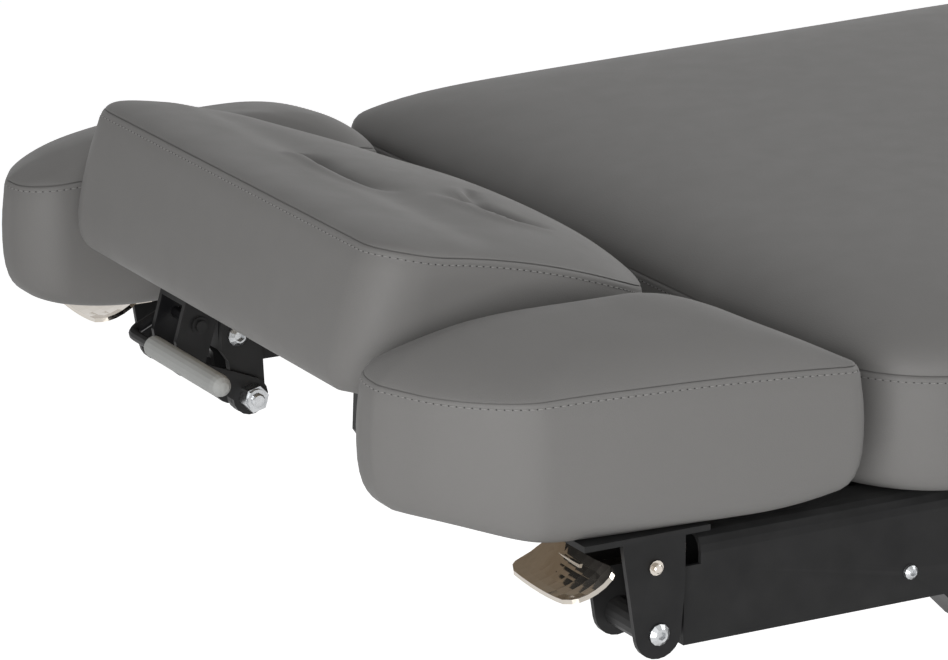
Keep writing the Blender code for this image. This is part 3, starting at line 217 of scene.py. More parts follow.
print("material helpers ready")

# %% Vinyl and thread
vinyl, tree, shader = finish("grey vinyl", 0.5)
grain = placed(tree, pebble, Cell_scale=620.0, Crease=0.55)
cloud = placed(tree, mottle, Scale=3.0, Fine_scale=45.0)
two_tones(tree, shader, cloud.outputs["Broad"], (0.182, 0.178, 0.173), (0.188, 0.184, 0.179))
uneven_gloss(tree, shader, cloud.outputs["Fine"], 0.53, 0.59)
shader.inputs["Specular IOR Level"].default_value = 0.2
bumped(tree, shader, grain.outputs["Height"], 0.20, 0.0004)


def sewn(name, dark, light):
    """The fuzz of thread, or the painted shade where the needle pierced the vinyl, at the scale of one
    stitch.
    """
    material, tree, shader = finish(name, 0.7)
    cloud = placed(tree, mottle, Scale=200.0, Fine_scale=2500.0)
    two_tones(tree, shader, cloud.outputs["Fine"], dark, light)
    bumped(tree, shader, cloud.outputs["Fine"], 0.4, 0.0002)
    return material


thread = sewn("grey thread", (0.19, 0.186, 0.180), (0.30, 0.294, 0.286))
# The dark material is painted shade, standing for the shade inside each needle's hole.
needle_hole_shade = sewn("painted needle-hole shade", (0.010, 0.010, 0.010), (0.022, 0.021, 0.020))
print("soft finishes:", vinyl.name, thread.name, needle_hole_shade.name)

# %% Painted steel
def painted(name, dark, light, low, high, painted_highlight):
    """Satin paint: a faint orange peel, and a painted highlight that makes its edges a little paler."""
    material, tree, shader = finish(name, low)
    shader.inputs["Specular IOR Level"].default_value = 0.14
    cloud = placed(tree, mottle, Scale=14.0, Fine_scale=420.0)
    # The edge group paints a highlight: a paler colour is mixed in along sharp edges.
    paler_edges = placed(tree, edge_highlight)
    ramp = two_tones(tree, shader, cloud.outputs["Broad"], dark, light)
    mixed = add(tree, "Mix", data_type="RGBA")
    tree.links.new(paler_edges.outputs["Painted highlight"], mixed.inputs["Factor"])
    tree.links.new(ramp.outputs["Color"], mixed.inputs["A"])
    mixed.inputs["B"].default_value = (*painted_highlight, 1)
    tree.links.new(mixed.outputs["Result"], shader.inputs["Base Color"])
    uneven_gloss(tree, shader, cloud.outputs["Broad"], low, high)
    bumped(tree, shader, cloud.outputs["Fine"], 0.08, 0.0003)
    return material


# The last colour of each paint is its painted highlight along the edges.
black_paint = painted("satin black paint", (0.007, 0.007, 0.008), (0.011, 0.011, 0.011), 0.36, 0.48,
                      (0.03, 0.03, 0.03))
drive_black = painted("black drive housing", (0.012, 0.012, 0.013), (0.018, 0.018, 0.019), 0.46, 0.58,
                      (0.04, 0.04, 0.04))
print("painted:", black_paint.name, drive_black.name)

# %% Bare metals
def plated(name, dark, light, low, high, scale):
    """Bright metal with a cloudy plating."""
    material, tree, shader = finish(name, low, 1.0)
    cloud = placed(tree, mottle, Scale=scale, Fine_scale=scale * 12)
    two_tones(tree, shader, cloud.outputs["Broad"], dark, light)
    uneven_gloss(tree, shader, cloud.outputs["Fine"], low, high)
    bumped(tree, shader, cloud.outputs["Fine"], 0.04, 0.0001)
    return material


zinc = plated("zinc plating", (0.40, 0.41, 0.42), (0.55, 0.56, 0.57), 0.22, 0.36, 120.0)
chrome = plated("polished chrome", (0.50, 0.46, 0.41), (0.56, 0.52, 0.47), 0.05, 0.09, 30.0)
print("metals:", zinc.name, chrome.name)

# %% Rubber, plastic and wood
def moulded(name, dark, light, low, high, scale, depth):
    """Moulded rubber or plastic with a fine spark-eroded grain."""
    material, tree, shader = finish(name, low)
    cloud = placed(tree, mottle, Scale=12.0, Fine_scale=scale)
    two_tones(tree, shader, cloud.outputs["Broad"], dark, light)
    uneven_gloss(tree, shader, cloud.outputs["Fine"], low, high)
    bumped(tree, shader, cloud.outputs["Fine"], 0.3, depth)
    return material


grip_rubber = moulded("grey rubber grip", (0.34, 0.345, 0.335), (0.39, 0.395, 0.385), 0.55, 0.68,
                      900.0, 0.0003)
foot_rubber = moulded("black rubber foot", (0.016, 0.016, 0.016), (0.024, 0.024, 0.024), 0.7, 0.85,
                      600.0, 0.0004)
cover_plastic = moulded("grey moulded cover", (0.10, 0.10, 0.104), (0.12, 0.12, 0.124), 0.48, 0.58,
                        800.0, 0.0003)
nylon = moulded("white nylon glide", (0.72, 0.72, 0.70), (0.80, 0.80, 0.78), 0.42, 0.52, 500.0, 0.0002)

plywood, tree, shader = finish("unpainted plywood", 0.65)
place = add(tree, "TexCoord").outputs["Object"]
along = add(tree, "Mapping", {"Vector": place, "Scale": (3.0, 26.0, 26.0)})
figure = add(tree, "TexNoise", {"Vector": along.outputs["Vector"], "Scale": 3.0, "Detail": 6.0,
                                "Distortion": 0.8})
two_tones(tree, shader, figure.outputs["Fac"], (0.45, 0.36, 0.26), (0.60, 0.51, 0.40))
bumped(tree, shader, figure.outputs["Fac"], 0.2, 0.0005)
print("materials:", len(bpy.data.materials))

# %% [markdown]
# Dress the CAD nodes
#
# A rigid node keeps its CAD shape and only changes its material. The list below reads like the parts
# list of the bed: what starts with these words gets that finish, and the first match counts.

# %% Assign finishes
FINISH_OF = (
    ("column_inner", zinc), ("column_glide", nylon), ("rail_screw", zinc), ("back_hinge_shaft", zinc),
    ("leg_hinge_shaft", zinc), ("headrest_arm_bolt", zinc), ("headrest_pivot_bolt", zinc),
    ("armrest_pivot_bolt", zinc), ("armrest_lever", chrome), ("headrest_handle_grip", grip_rubber),
    ("levelling_foot", foot_rubber), ("base_cover", cover_plastic), ("power_inlet", drive_black),
    ("back_drive_housing", drive_black), ("leg_drive_housing", drive_black), ("back_drive_rod", chrome),
    ("leg_drive_rod", chrome),
)
for name, obj in nodes.items():
    chosen = next((look for start, look in FINISH_OF if name.startswith(start)), black_paint)
    if name.endswith("_board") or "_board_" in name:
        chosen = plywood
    if "cushion" in name:
        chosen = vinyl
    obj.data.materials.clear()
    obj.data.materials.append(chosen)
print("dressed", len(nodes), "nodes")

# %% [markdown]
# The pads
#
# Each pad is foam on a board, covered with a top panel and a side band that are sewn together. The seam
# is the sharpest line on the bed: the top panel rolls over into it, the band rises to it and bulges
# below it, and a row of topstitching runs along the band just under it. A cube could be subdivided and
# sculpted by hand into this, but all six pads follow one recipe, so a function lays a square grid over
# a rounded outline, ring by ring, and the real differences between the pads go into a small shaping
# function for each.

# %% The outline
TINY = 1e-9
GRID_EASE = 0.9


def eased(share):
    """Crowds the lines of a grid towards its rim, where a pad curves most."""
    return np.sin(pi / 2 * share ** GRID_EASE)


def outline(u, v, half_length, half_width, radii):
    """Where rays through square coordinates meet a rounded rectangle, and its outward direction there."""
    ring = np.maximum(np.maximum(abs(u), abs(v)), TINY)
    square_u, square_v = u / ring, v / ring
    head = np.where(v > 0, radii[2], radii[0])
    foot = np.where(v > 0, radii[3], radii[1])
    radius = np.where(u > 0, foot, head)
    x = np.sign(square_u) * eased(abs(square_u)) * half_length
    y = np.sign(square_v) * eased(abs(square_v)) * half_width
    core_x = np.clip(x, radius - half_length, half_length - radius)
    core_y = np.clip(y, radius - half_width, half_width - radius)
    out = np.stack((x - core_x, y - core_y), 1)
    out = out / np.maximum(np.linalg.norm(out, axis=1, keepdims=True), TINY)
    edge = np.stack((core_x, core_y), 1) + out * radius[:, None]
    return ring, np.stack((square_u, square_v), 1), edge, out


print("a grid line at half way lies at", round(float(eased(0.5)), 3), "of the way to the rim")

# %% [markdown]
# Top, band and underside
#
# The top panel is highest in the middle and falls to the seam. Two crowns are blended, and the lower
# one wins: one over the whole rectangle, and one that grows inwards from the seam, which keeps the
# rounded corners from standing up like walls. The band is a stack of rings: the first few make the fold
# and the lip of the seam, the rest bulge and then turn under. The underside is tucked in and has a flat
# pocket where the board sits.

# %% Top panel
CORNER_BLEND = 5.0
CROWN_SHOULDER = 0.2
SEAM_LIP = 0.0003


def pad_top(ring, edge, out, size, crown, puff):
    """Points of the crowned top panel; a larger puff makes it flatter, with steeper flanks."""
    half = np.array(size)
    flat = edge * eased(np.minimum(ring, 1.0))[:, None]
    over_all = np.prod(1 - np.minimum(abs(flat) / half, 1) ** puff, axis=1)
    inwards = np.sum((edge - flat) * out, axis=1) / np.maximum(abs(out) @ half, TINY)
    from_seam = np.where(ring > TINY, 1 - np.clip(1 - inwards, 0, 1) ** puff, 1)
    lower = np.maximum((over_all, from_seam), TINY) ** -CORNER_BLEND
    full = np.mean(lower, axis=0) ** (-1 / CORNER_BLEND)
    height = crown * full ** (2 / puff + CROWN_SHOULDER)
    return np.column_stack((flat, np.where(np.isclose(ring, 1.0), SEAM_LIP, height)))


print("top panel ready: its rim stands", SEAM_LIP * 1000, "mm over the seam")

# %% Side band
PAD_BULGE = 0.005
STITCH_DEPTH = 0.0041
# depth under the seam and outward reach of the rings that make the fold and the lip
SEAM_ROLL = ((0.0001, -0.0026), (0.0005, 0.0000), (0.0012, 0.0006), (0.0028, 0.0009),
             (STITCH_DEPTH, 0.0004), (0.0062, 0.0009))
BAND_DEPTHS = (0.16, 0.28, 0.42, 0.56, 0.70, 0.80, 0.88, 0.93, 0.965, 0.985, 1.0)
# shares of the band's depth, and the share of the full bulge at each
BULGE_DEPTH = (0.0, 0.08, 0.16, 0.30, 0.45, 0.60, 0.72, 0.82, 0.90, 0.95, 0.98, 1.0)
BULGE_SHARE = (0.0, 0.42, 0.66, 0.90, 1.0, 0.97, 0.84, 0.55, 0.10, -0.5, -1.2, -2.0)


def bulge(share):
    """How far the band stands out, at a share of its depth."""
    return PAD_BULGE * np.interp(share, BULGE_DEPTH, BULGE_SHARE)


def pad_rings(side):
    """Depth and outward reach of each ring of a band that is this deep."""
    rings = [(depth, proud + bulge(depth / side)) for depth, proud in SEAM_ROLL]
    return rings + [(side * share, bulge(share)) for share in BAND_DEPTHS]


print("side band ready:", len(SEAM_ROLL) + len(BAND_DEPTHS), "rings")

# %% Underside
PAD_TUCK = 0.010
WRAP_SHARE = 0.15
POCKET_SHARE = 0.84
POCKET_EDGE = 0.998


def pad_under(ring, square, edge, out, side, board):
    """Points of the underside, and which of them lie in the board's pocket."""
    half, centre = np.array(board[:2]), np.array(board[2:4])
    wrap = np.clip((1 - ring) / WRAP_SHARE, 0, 1)[:, None]
    tucked = edge - out * PAD_TUCK
    board_edge = centre + square * half
    under = np.full((len(ring), 3), -side)
    under[:, :2] = tucked * (1 - wrap) + board_edge * wrap
    pocket = ring < POCKET_SHARE
    inwards = np.minimum(ring[pocket] / POCKET_SHARE, POCKET_EDGE)[:, None]
    under[pocket, :2] = centre + (board_edge[pocket] - centre) * inwards
    return under, pocket


print("underside ready: tucked in by", PAD_TUCK * 1000, "mm")

# %% Join the pad
def grid_faces(index):
    """Quads of a grid of vertex numbers."""
    quads = np.stack((index[:-1, :-1], index[1:, :-1], index[1:, 1:], index[:-1, 1:]), -1)
    return quads.reshape(-1, 4).tolist()


def keep_sharp(mesh, lines):
    """Marks the edges that run along these lines of vertices as sharp."""
    ends = np.empty(2 * len(mesh.edges), int)
    mesh.edges.foreach_get("vertices", ends)
    ends = ends.reshape(-1, 2)
    sharp = np.any([np.isin(ends, line).all(1) for line in lines], axis=0)
    mesh.attributes.new("sharp_edge", "BOOLEAN", "EDGE").data.foreach_set("value", sharp)


def make_pad(name, size, radii, side, crown, puff, board, cells, shape):
    """A pad about its seam's centre: its mesh, its stitching line and the outward directions along it.

    size is half the length and width at the seam. radii are those of the corners: head and foot on the
    right, then on the left. board is the half sizes, the centre and the height of its board.
    shape(points, u, v, on_top) moves the points.
    """
    us, vs = np.meshgrid(np.linspace(-1, 1, cells[0] + 1), np.linspace(-1, 1, cells[1] + 1), indexing="ij")
    ring, square, edge, out = outline(us.ravel(), vs.ravel(), *size, radii)
    rim = np.isclose(ring, 1.0)
    index = np.arange(len(ring)).reshape(us.shape)
    loop = np.concatenate((index[:-1, 0], index[-1, :-1], index[:0:-1, -1], index[0, :0:-1]))
    count = len(loop)

    top = pad_top(ring, edge, out, size, crown, puff)
    rings = pad_rings(side)
    band = [np.column_stack((edge[loop] + out[loop] * proud, np.full(count, -depth)))
            for depth, proud in rings]
    under, pocket = pad_under(ring, square, edge, out, side, board)
    points = []
    for part, on_top in [(top, True)] + [(one, False) for one in band] + [(under[~rim], False)]:
        points.append(shape(part.copy(), part[:, 0] / size[0], part[:, 1] / size[1], on_top))
    points[-1][pocket[~rim], 2] = board[4]

    faces = grid_faces(index)
    lines = [loop] + [len(ring) + k * count + np.arange(count) for k in range(len(band))]
    for upper, lower in zip(lines, lines[1:]):
        faces += np.stack((upper, lower, np.roll(lower, -1), np.roll(upper, -1)), -1).tolist()
    number = np.empty(len(ring), int)
    number[~rim] = len(ring) + len(band) * count + np.arange((~rim).sum())
    number[loop] = lines[-1]
    faces += [face[::-1] for face in grid_faces(number.reshape(us.shape))]

    mesh = bpy.data.meshes.new(name)
    mesh.from_pydata(np.concatenate(points).tolist(), [], faces)
    mesh.update()
    keep_sharp(mesh, (lines[0], lines[2]))
    stitch_line = points[1 + [depth for depth, _ in rings].index(STITCH_DEPTH)]
    return mesh, stitch_line, np.column_stack((out[loop], np.zeros(count)))


print("pad recipe ready")

# %% [markdown]
# Topstitching
#
# Thread is real geometry here, because from the side each stitch catches light. One stitch is a short
# six-sided spindle, sunk at both ends where the needle went in, and a small dark patch of painted shade
# marks where the needle pierced the vinyl, which is what the eye picks out from a few steps away. The
# row follows the band's ring just under the seam at an even pitch.

# %% Stitches
STITCH_PITCH = 0.0050
STITCH_LENGTH = 0.0036
STITCH_RADIUS = 0.00052
HOLE_RADIUS = 0.00055
HOLE_LIFT = 0.0002
HOLE_SHIFT = 0.02
RUN_STEP = 0.001
SIDES = 6
TURNS = np.arange(SIDES) * 2 * pi / SIDES
# place along the stitch, radius and lift of each ring of the spindle
SPINDLE = ((-0.5, 0.15, -0.6), (-0.32, 0.85, 0.2), (0.32, 0.85, 0.2), (0.5, 0.15, -0.6))
HOLE_START = SIDES * len(SPINDLE)


def stitch_faces():
    """Faces of one stitch: both ends, the disc of painted shade where the needle went through, and the
    sides of the spindle.
    """
    faces = [range(SIDES - 1, -1, -1), range(HOLE_START - SIDES, HOLE_START),
             range(HOLE_START, HOLE_START + SIDES)]
    for first in range(0, HOLE_START - SIDES, SIDES):
        for k in range(SIDES):
            n = (k + 1) % SIDES
            faces.append((first + k, first + n, first + SIDES + n, first + SIDES + k))
    return faces


def make_stitches(name, line, outward):
    """A row of stitches, each with a disc of painted shade where the needle went through, along a closed
    line, as one mesh with two materials.
    """
    closed = np.vstack((line, line[:1]))
    out_closed = np.vstack((outward, outward[:1]))
    lengths = np.r_[0, np.cumsum(np.linalg.norm(np.diff(closed, axis=0), axis=1))]
    count = int(lengths[-1] / STITCH_PITCH)

    def along(values, where):
        return np.column_stack([np.interp(where, lengths, values[:, k]) for k in range(3)])

    def axes(where):
        run = along(closed, where + RUN_STEP) - along(closed, where - RUN_STEP)
        run /= np.linalg.norm(run, axis=1, keepdims=True)
        out = along(out_closed, where)
        out /= np.linalg.norm(out, axis=1, keepdims=True)
        return along(closed, where), run, out, np.cross(run, out)

    middle, run, out, up = axes((np.arange(count) + 0.5) * lengths[-1] / count)
    points = []
    for station, radius, lift in SPINDLE:
        for turn in TURNS:
            across = out * (lift + radius * cos(turn)) + up * radius * sin(turn)
            points.append(middle + run * station * STITCH_LENGTH + across * STITCH_RADIUS)
    # Each disc is painted shade, at the place where the needle went through.
    middle, run, out, up = axes((np.arange(count) + HOLE_SHIFT) * lengths[-1] / count)
    for turn in TURNS:
        points.append(middle + out * HOLE_LIFT + (run * cos(turn) - up * sin(turn)) * HOLE_RADIUS)

    one = stitch_faces()
    every = [tuple(i + len(points) * n for i in face) for n in range(count) for face in one]
    # The discs get the second material, the painted shade.
    hole_shade = [int(min(face) == HOLE_START) for face in one] * count
    mesh = bpy.data.meshes.new(name)
    mesh.from_pydata(np.stack(points, 1).reshape(-1, 3).tolist(), [], every)
    mesh.polygons.foreach_set("material_index", hole_shade)
    mesh.update()
    return mesh


print("stitch:", STITCH_LENGTH * 1000, "mm long every", STITCH_PITCH * 1000, "mm")

# %% [markdown]
# Putting a pad on the bed
#
# A finished pad replaces its CAD solid and rides on the same body. Its stitches are a piece of their own
# on the same body.

# %% Place a pad
def place_pad(node, body, made, place):
    """Puts a pad and its stitches at their place on the bed, standing for a CAD cushion."""
    mesh, line, outward = made
    mesh.transform(place)
    mesh.materials.append(vinyl)
    mesh.shade_smooth()
    pad = bpy.data.objects.new(node.replace("cushion", "pad"), mesh)
    bpy.context.scene.collection.objects.link(pad)
    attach(pad, body)
    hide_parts(node)
    rows = make_stitches(node + "_stitches", line, outward)
    rows.transform(place)
    rows.materials.append(thread)
    rows.materials.append(needle_hole_shade)
    rows.shade_smooth()
    stitches = bpy.data.objects.new(node.replace("cushion", "stitches"), rows)
    bpy.context.scene.collection.objects.link(stitches)
    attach(stitches, body)
    print(pad.name, len(mesh.polygons), "faces,", len(rows.polygons) // len(stitch_faces()), "stitches")


print("placing ready")

# %% Ripple
RIPPLE_WAVES = 5
RIPPLE_FADE = 0.02


def ripple(points, seed, size, length):
    """A slow unevenness of stretched vinyl, as a height for each point."""
    draw = np.random.default_rng(seed)
    total = np.zeros(len(points))
    for _ in range(RIPPLE_WAVES):
        angle, phase = draw.uniform(0, 2 * pi, 2)
        wave = draw.uniform(0.7, 1.6) * 2 * pi / length
        total += np.sin((points[:, 0] * cos(angle) + points[:, 1] * sin(angle)) * wave + phase)
    return total * size / RIPPLE_WAVES


print("ripple: a sum of", RIPPLE_WAVES, "waves")

# %% [markdown]
# Back, seat and leg pads
#
# These three share one width and one side height. The back pad is fuller towards the seat, where it
# carries the client's weight, so its crown grows along its length. All three get a faint slow ripple,
# no deeper than a millimetre, because stretched vinyl over foam is never quite flat.

# %% The lying surface
SEAM_Z = 0.660
PAD_HALF_WIDTH = 0.380
PAD_SIDE = 0.080
PAD_CROWN = 0.040
PAD_PUFF = 7.0
PAD_CORNER = 0.045
PAD_CELLS = (64, 68)
PAD_RIPPLE = 0.0006
BOARD_INSET = 0.050
BOARD_PLAY = 0.0005
POCKET_HEIGHT = 0.0127
BACK_LENGTH = 0.716
BACK_FOOT_CROWN = 0.058
BACK_CROWN_RUN = 0.560
BACK_CORNERS = (0.088, PAD_CORNER, 0.040, PAD_CORNER)
LEG_FOOT_CORNER = 0.090


def rippled(points, seed, length):
    """Adds the slow ripple to a top, fading out towards the seam."""
    high = points[:, 2] > 0
    fade = np.minimum(1, points[high, 2] / RIPPLE_FADE)
    points[high, 2] += ripple(points, seed, PAD_RIPPLE, length)[high] * fade
    return points


def back_shape(points, u, v, on_top):
    """The back pad's crown grows from its head end towards the seat."""
    grow = np.clip((points[:, 0] + BACK_LENGTH / 2) / BACK_CROWN_RUN, 0, 1)
    swell = 1 + (BACK_FOOT_CROWN / PAD_CROWN - 1) * grow
    points[:, 2] *= np.where(points[:, 2] > 0, swell, 1)
    return rippled(points, 11, 0.30)


def plain_shape(points, u, v, on_top):
    """The seat and leg pads keep an even crown."""
    return rippled(points, 12, 0.28)


for node, body, corners, shape in (("back_cushion", "back", BACK_CORNERS, back_shape),
                                   ("seat_cushion", "lift", (PAD_CORNER,) * 4, plain_shape),
                                   ("leg_cushion", "leg", (PAD_CORNER, LEG_FOOT_CORNER) * 2, plain_shape)):
    low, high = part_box(node)
    half = (high.x - low.x) / 2 - PAD_BULGE
    board = (half - BOARD_INSET + BOARD_PLAY, PAD_HALF_WIDTH - BOARD_INSET + BOARD_PLAY, 0, 0,
             POCKET_HEIGHT - PAD_SIDE)
    made = make_pad(node, (half, PAD_HALF_WIDTH), corners, PAD_SIDE, PAD_CROWN, PAD_PUFF, board,
                    PAD_CELLS, shape)
    place_pad(node, body, made, Matrix.Translation(((low.x + high.x) / 2, 0, SEAM_Z)))

# %% [markdown]
# The headrest
#
# The headrest has the most form: a low roll along its head end, a valley behind it, a fuller half
# towards the backrest, and creases where the cover is drawn in. Each crease is a path of a few points;
# a groove follows it, steep under a lip on the head side and gentle on the other. The seam arches
# lengthwise. The pad sits tilted, so it is built flat and then turned about its pivot bolt, as the CAD
# does.

# %% Creases
LEFT_CREASE = ((-0.050, 0.050), (-0.047, 0.030), (-0.049, 0.008), (-0.045, -0.022), (-0.038, -0.045),
               (-0.026, -0.066))
RIGHT_CREASE = ((-0.010, -0.066), (0.000, -0.084), (0.007, -0.103), (0.011, -0.122), (0.020, -0.137),
                (0.044, -0.146))
SHORT_CREASE = ((0.026, -0.056), (0.018, -0.070), (0.009, -0.104))
# path, depth, width of the gentle side and skew of each crease
CREASES = ((LEFT_CREASE, 0.0125, 0.0095, 0.5), (RIGHT_CREASE, 0.0090, 0.0085, 1.2),
           (SHORT_CREASE, 0.0040, 0.0060, 1.0))
CREASE_NEAR_WIDTH = 0.0036
CREASE_TAPER = 1.3
CREASE_LIP = 0.25
# the lip's place and width are counted in widths of the steep side
LIP_PLACE = -2.6
LIP_WIDTH = 1.8


def crease(points, path, depth, width, skew):
    """How far a crease along a path lowers each point: steep under a lip on one side, gentle on the other.

    A skew under 1 puts its deepest place nearer the start of the path, one over 1 nearer the end.
    """
    nearest = np.full(len(points), np.inf)
    across, share = np.zeros(len(points)), np.zeros(len(points))
    for k, (start, end) in enumerate(zip(np.array(path), np.array(path)[1:])):
        run = end - start
        t = np.clip((points[:, :2] - start) @ run / (run @ run), 0, 1)
        off = points[:, :2] - start - t[:, None] * run
        gap = np.linalg.norm(off, axis=1)
        closer = gap < nearest
        side = np.sign(run[0] * off[:, 1] - run[1] * off[:, 0])
        nearest = np.where(closer, gap, nearest)
        across = np.where(closer, side * gap, across)
        share = np.where(closer, (k + t) / (len(path) - 1), share)
    groove = np.exp(-(across / np.where(across < 0, CREASE_NEAR_WIDTH, width)) ** 2)
    lip = CREASE_LIP * np.exp(-((across / CREASE_NEAR_WIDTH - LIP_PLACE) / LIP_WIDTH) ** 2)
    return depth * np.sin(pi * share ** skew) ** CREASE_TAPER * (groove - lip)


print("creases:", len(CREASES), "- the deepest is", max(depth for _, depth, _, _ in CREASES) * 1000, "mm")

# %% How full the headrest is
HEAD_HALF_FULL = 0.34
FOOT_HALF_GAIN = 0.33
FOOT_SIDE_FALL = 0.34
FOOT_END_FALL = 0.05
ROLL_END_GAIN = 0.46
VALLEY_DEPTH = 0.12
VALLEY_PLACE = -0.38
VALLEY_WIDTH = 0.18
LEFT_FOOT_FLAT = 0.42


def smooth_step(values, start, end):
    """0 up to the start, 1 from the end on, and a smooth rise between them."""
    t = np.clip((values - start) / (end - start), 0, 1)
    return t * t * (3 - 2 * t)


def fullness(u, v):
    """The share of the crown that is left: a low roll, the valley behind it and a fuller foot half."""
    foot_half = smooth_step(u, -0.42, 0.50)
    share = (HEAD_HALF_FULL + FOOT_HALF_GAIN * foot_half) * (1 - FOOT_SIDE_FALL * foot_half * v * v)
    share -= FOOT_END_FALL * smooth_step(u, 0.40, 1.0)
    share += ROLL_END_GAIN * v ** 4 * smooth_step(-u, 0.00, 0.90)
    share -= VALLEY_DEPTH * np.exp(-((u - VALLEY_PLACE) / VALLEY_WIDTH) ** 2)
    return share * (1 - LEFT_FOOT_FLAT * foot_half * smooth_step(v, -0.3, 0.5))


print("fullness in the valley:", round(float(fullness(VALLEY_PLACE, 0.0)), 2))

# %% Headrest pad
HEAD_PIVOT = Vector((-0.8527, 0, 0.5492))
HEADREST_TILT = radians(16)
HEADREST_SIZE = (0.116, 0.220)
HEADREST_CORNERS = (0.032, 0.070, 0.032, 0.070)
HEADREST_SIDE = 0.094
HEADREST_CROWN = 0.028
HEADREST_PUFF = 4.5
HEADREST_CELLS = (170, 240)
HEADREST_RIPPLE = 0.0008
HEADREST_RIPPLE_FADE = 0.01
HEADREST_ARCH = 0.012
HEADREST_TAPER = 0.02
HEADREST_CORNER_LIFT = 0.007
HEAD_SEAM_OVER_PIVOT = 0.168
HEAD_BOARD = (0.093 + BOARD_PLAY, 0.190 + BOARD_PLAY, -0.008, 0, POCKET_HEIGHT - HEADREST_SIDE)
HEAD_END_REACH = 0.0075
HEAD_END_RAISE = 0.0025
LEFT_FOOT_SAG = 0.75
RIGHT_FOOT_PULL = 0.011


def head_shape(points, u, v, on_top):
    """The headrest: arched seam, sagging left and pulled-in right foot corner, roll, valley and creases."""
    low = np.clip(-points[:, 2] / HEADREST_SIDE, 0, 1)
    left_foot = smooth_step(v, 0.2, 1.0) * smooth_step(u, -0.4, 0.5)
    right_foot = smooth_step(-v, 0.4, 1.0) * smooth_step(u, 0.3, 1.0)
    arch = HEADREST_ARCH * (1 - u * u) * (1 - LEFT_FOOT_SAG * left_foot) * (1 - low)
    head_end = smooth_step(-u, 0.65, 1.0)
    points[:, 0] -= RIGHT_FOOT_PULL * right_foot * (1 - low) + HEAD_END_REACH * head_end
    points[:, 1] *= 1 - HEADREST_TAPER * low
    points[:, 1] += RIGHT_FOOT_PULL * right_foot * (1 - low)
    points[:, 2] += HEADREST_CORNER_LIFT * low * smooth_step(-u, 0.7, 1.0) * smooth_step(abs(v), 0.85, 1.0)
    if on_top:
        high = points[:, 2] > SEAM_LIP
        points[:, 2] *= np.where(high, fullness(u, v), 1)
        fade = np.clip(points[:, 2] / HEADREST_RIPPLE_FADE, 0, 1)
        drop = sum(crease(points, *one) for one in CREASES)
        points[high, 2] += (ripple(points, 13, HEADREST_RIPPLE, 0.16) * fade - drop)[high]
    points[:, 2] += arch + HEAD_END_RAISE * head_end * (1 - low)
    return points


made = make_pad("headrest_cushion", HEADREST_SIZE, HEADREST_CORNERS, HEADREST_SIDE, HEADREST_CROWN,
                HEADREST_PUFF, HEAD_BOARD, HEADREST_CELLS, head_shape)
place = (Matrix.Translation(HEAD_PIVOT) @ Matrix.Rotation(HEADREST_TILT, 4, "Y")
         @ Matrix.Translation((0, 0, HEAD_SEAM_OVER_PIVOT)))
place_pad("headrest_cushion", "headrest", made, place)

# %% [markdown]
# The armrests
#
# Each armrest is a blunt wing: rounded at the head end, slanted where it meets the backrest, with its
# outer edge running lower towards the elbow. The left one is the mirror of the right one, so the
# shaping function takes the side as a sign; only its crown is flatter, and its foot end longer and
# lower, as on the real bed.

# %% Armrest form
ARM_LENGTH = 0.294
ARM_WIDTH = 0.1275
ARM_SIDE = 0.101
# where the two armrests differ, -1 stands for the right one and 1 for the left one
ARM_CROWN = {-1: 0.029, 1: 0.0257}
ARM_OUTER_FALL = 0.30
ARM_FOOT_EASE = 0.10
ARM_RIPPLE = 0.0009
ARM_FLARE = 0.011
ARM_FOOT_SLANT = {-1: 0.052, 1: 0.010}
ARM_FOOT_SAG = {-1: 0, 1: 0.015}
ARM_TIP_REACH = {-1: 0, 1: 0.0045}
ARM_TIP_SLANT = 0.029
ARM_OUTER_DROP = 0.0045
ARM_FOOT_DROP = 0.005
ARM_TIP_DROP = 0.004
ARM_TIP_LIFT = 0.016
ARM_FOOT_LIFT = 0.010


def past(values, start):
    """0 up to the start, then a straight rise that reaches 1 at 1."""
    return np.maximum(0, values - start) / (1 - start)


def arm_shape_for(side):
    """The shaping function of one armrest: side is -1 for the right one and 1 for the left one."""
    def arm_shape(points, u, v, on_top):
        out = v * side
        foot, tip = past(u, 0), past(-u, 0)
        z = points[:, 2]
        low = np.where(z < 0, -z / ARM_SIDE, 0)
        fall = (ARM_OUTER_FALL - ARM_FOOT_EASE * u) * np.maximum(0, out + 0.5)
        z = np.where(z > 0, z * (1 - fall), z)
        if on_top:
            z = z + ripple(points, 14 + int(side), ARM_RIPPLE, 0.12) * np.clip(z / RIPPLE_FADE, 0, 1)
        drop = (ARM_OUTER_DROP + ARM_FOOT_DROP * foot ** 2) * (1 + out) / 2
        drop = drop + ARM_TIP_DROP * np.minimum(past(-u, 0.2), 1) ** 2 + ARM_FOOT_SAG[side] * foot ** 4
        lift = ARM_TIP_LIFT * past(-u, 0.4) ** 2 + ARM_FOOT_LIFT * past(u, 0.5) ** 2
        points[:, 2] = z - (1 - low) * drop + low * lift
        points[:, 1] += side * ARM_FLARE * u * np.maximum(0, out + 0.2)
        points[:, 0] -= ARM_FOOT_SLANT[side] * foot * (1 - out) / 2 + ARM_TIP_REACH[side] * tip ** 2
        points[:, 0] += ARM_TIP_SLANT * tip ** 1.5 * np.maximum(0, out + 0.375)
        return points

    return arm_shape


print("armrest form ready:", ARM_LENGTH * 1000, "mm long")

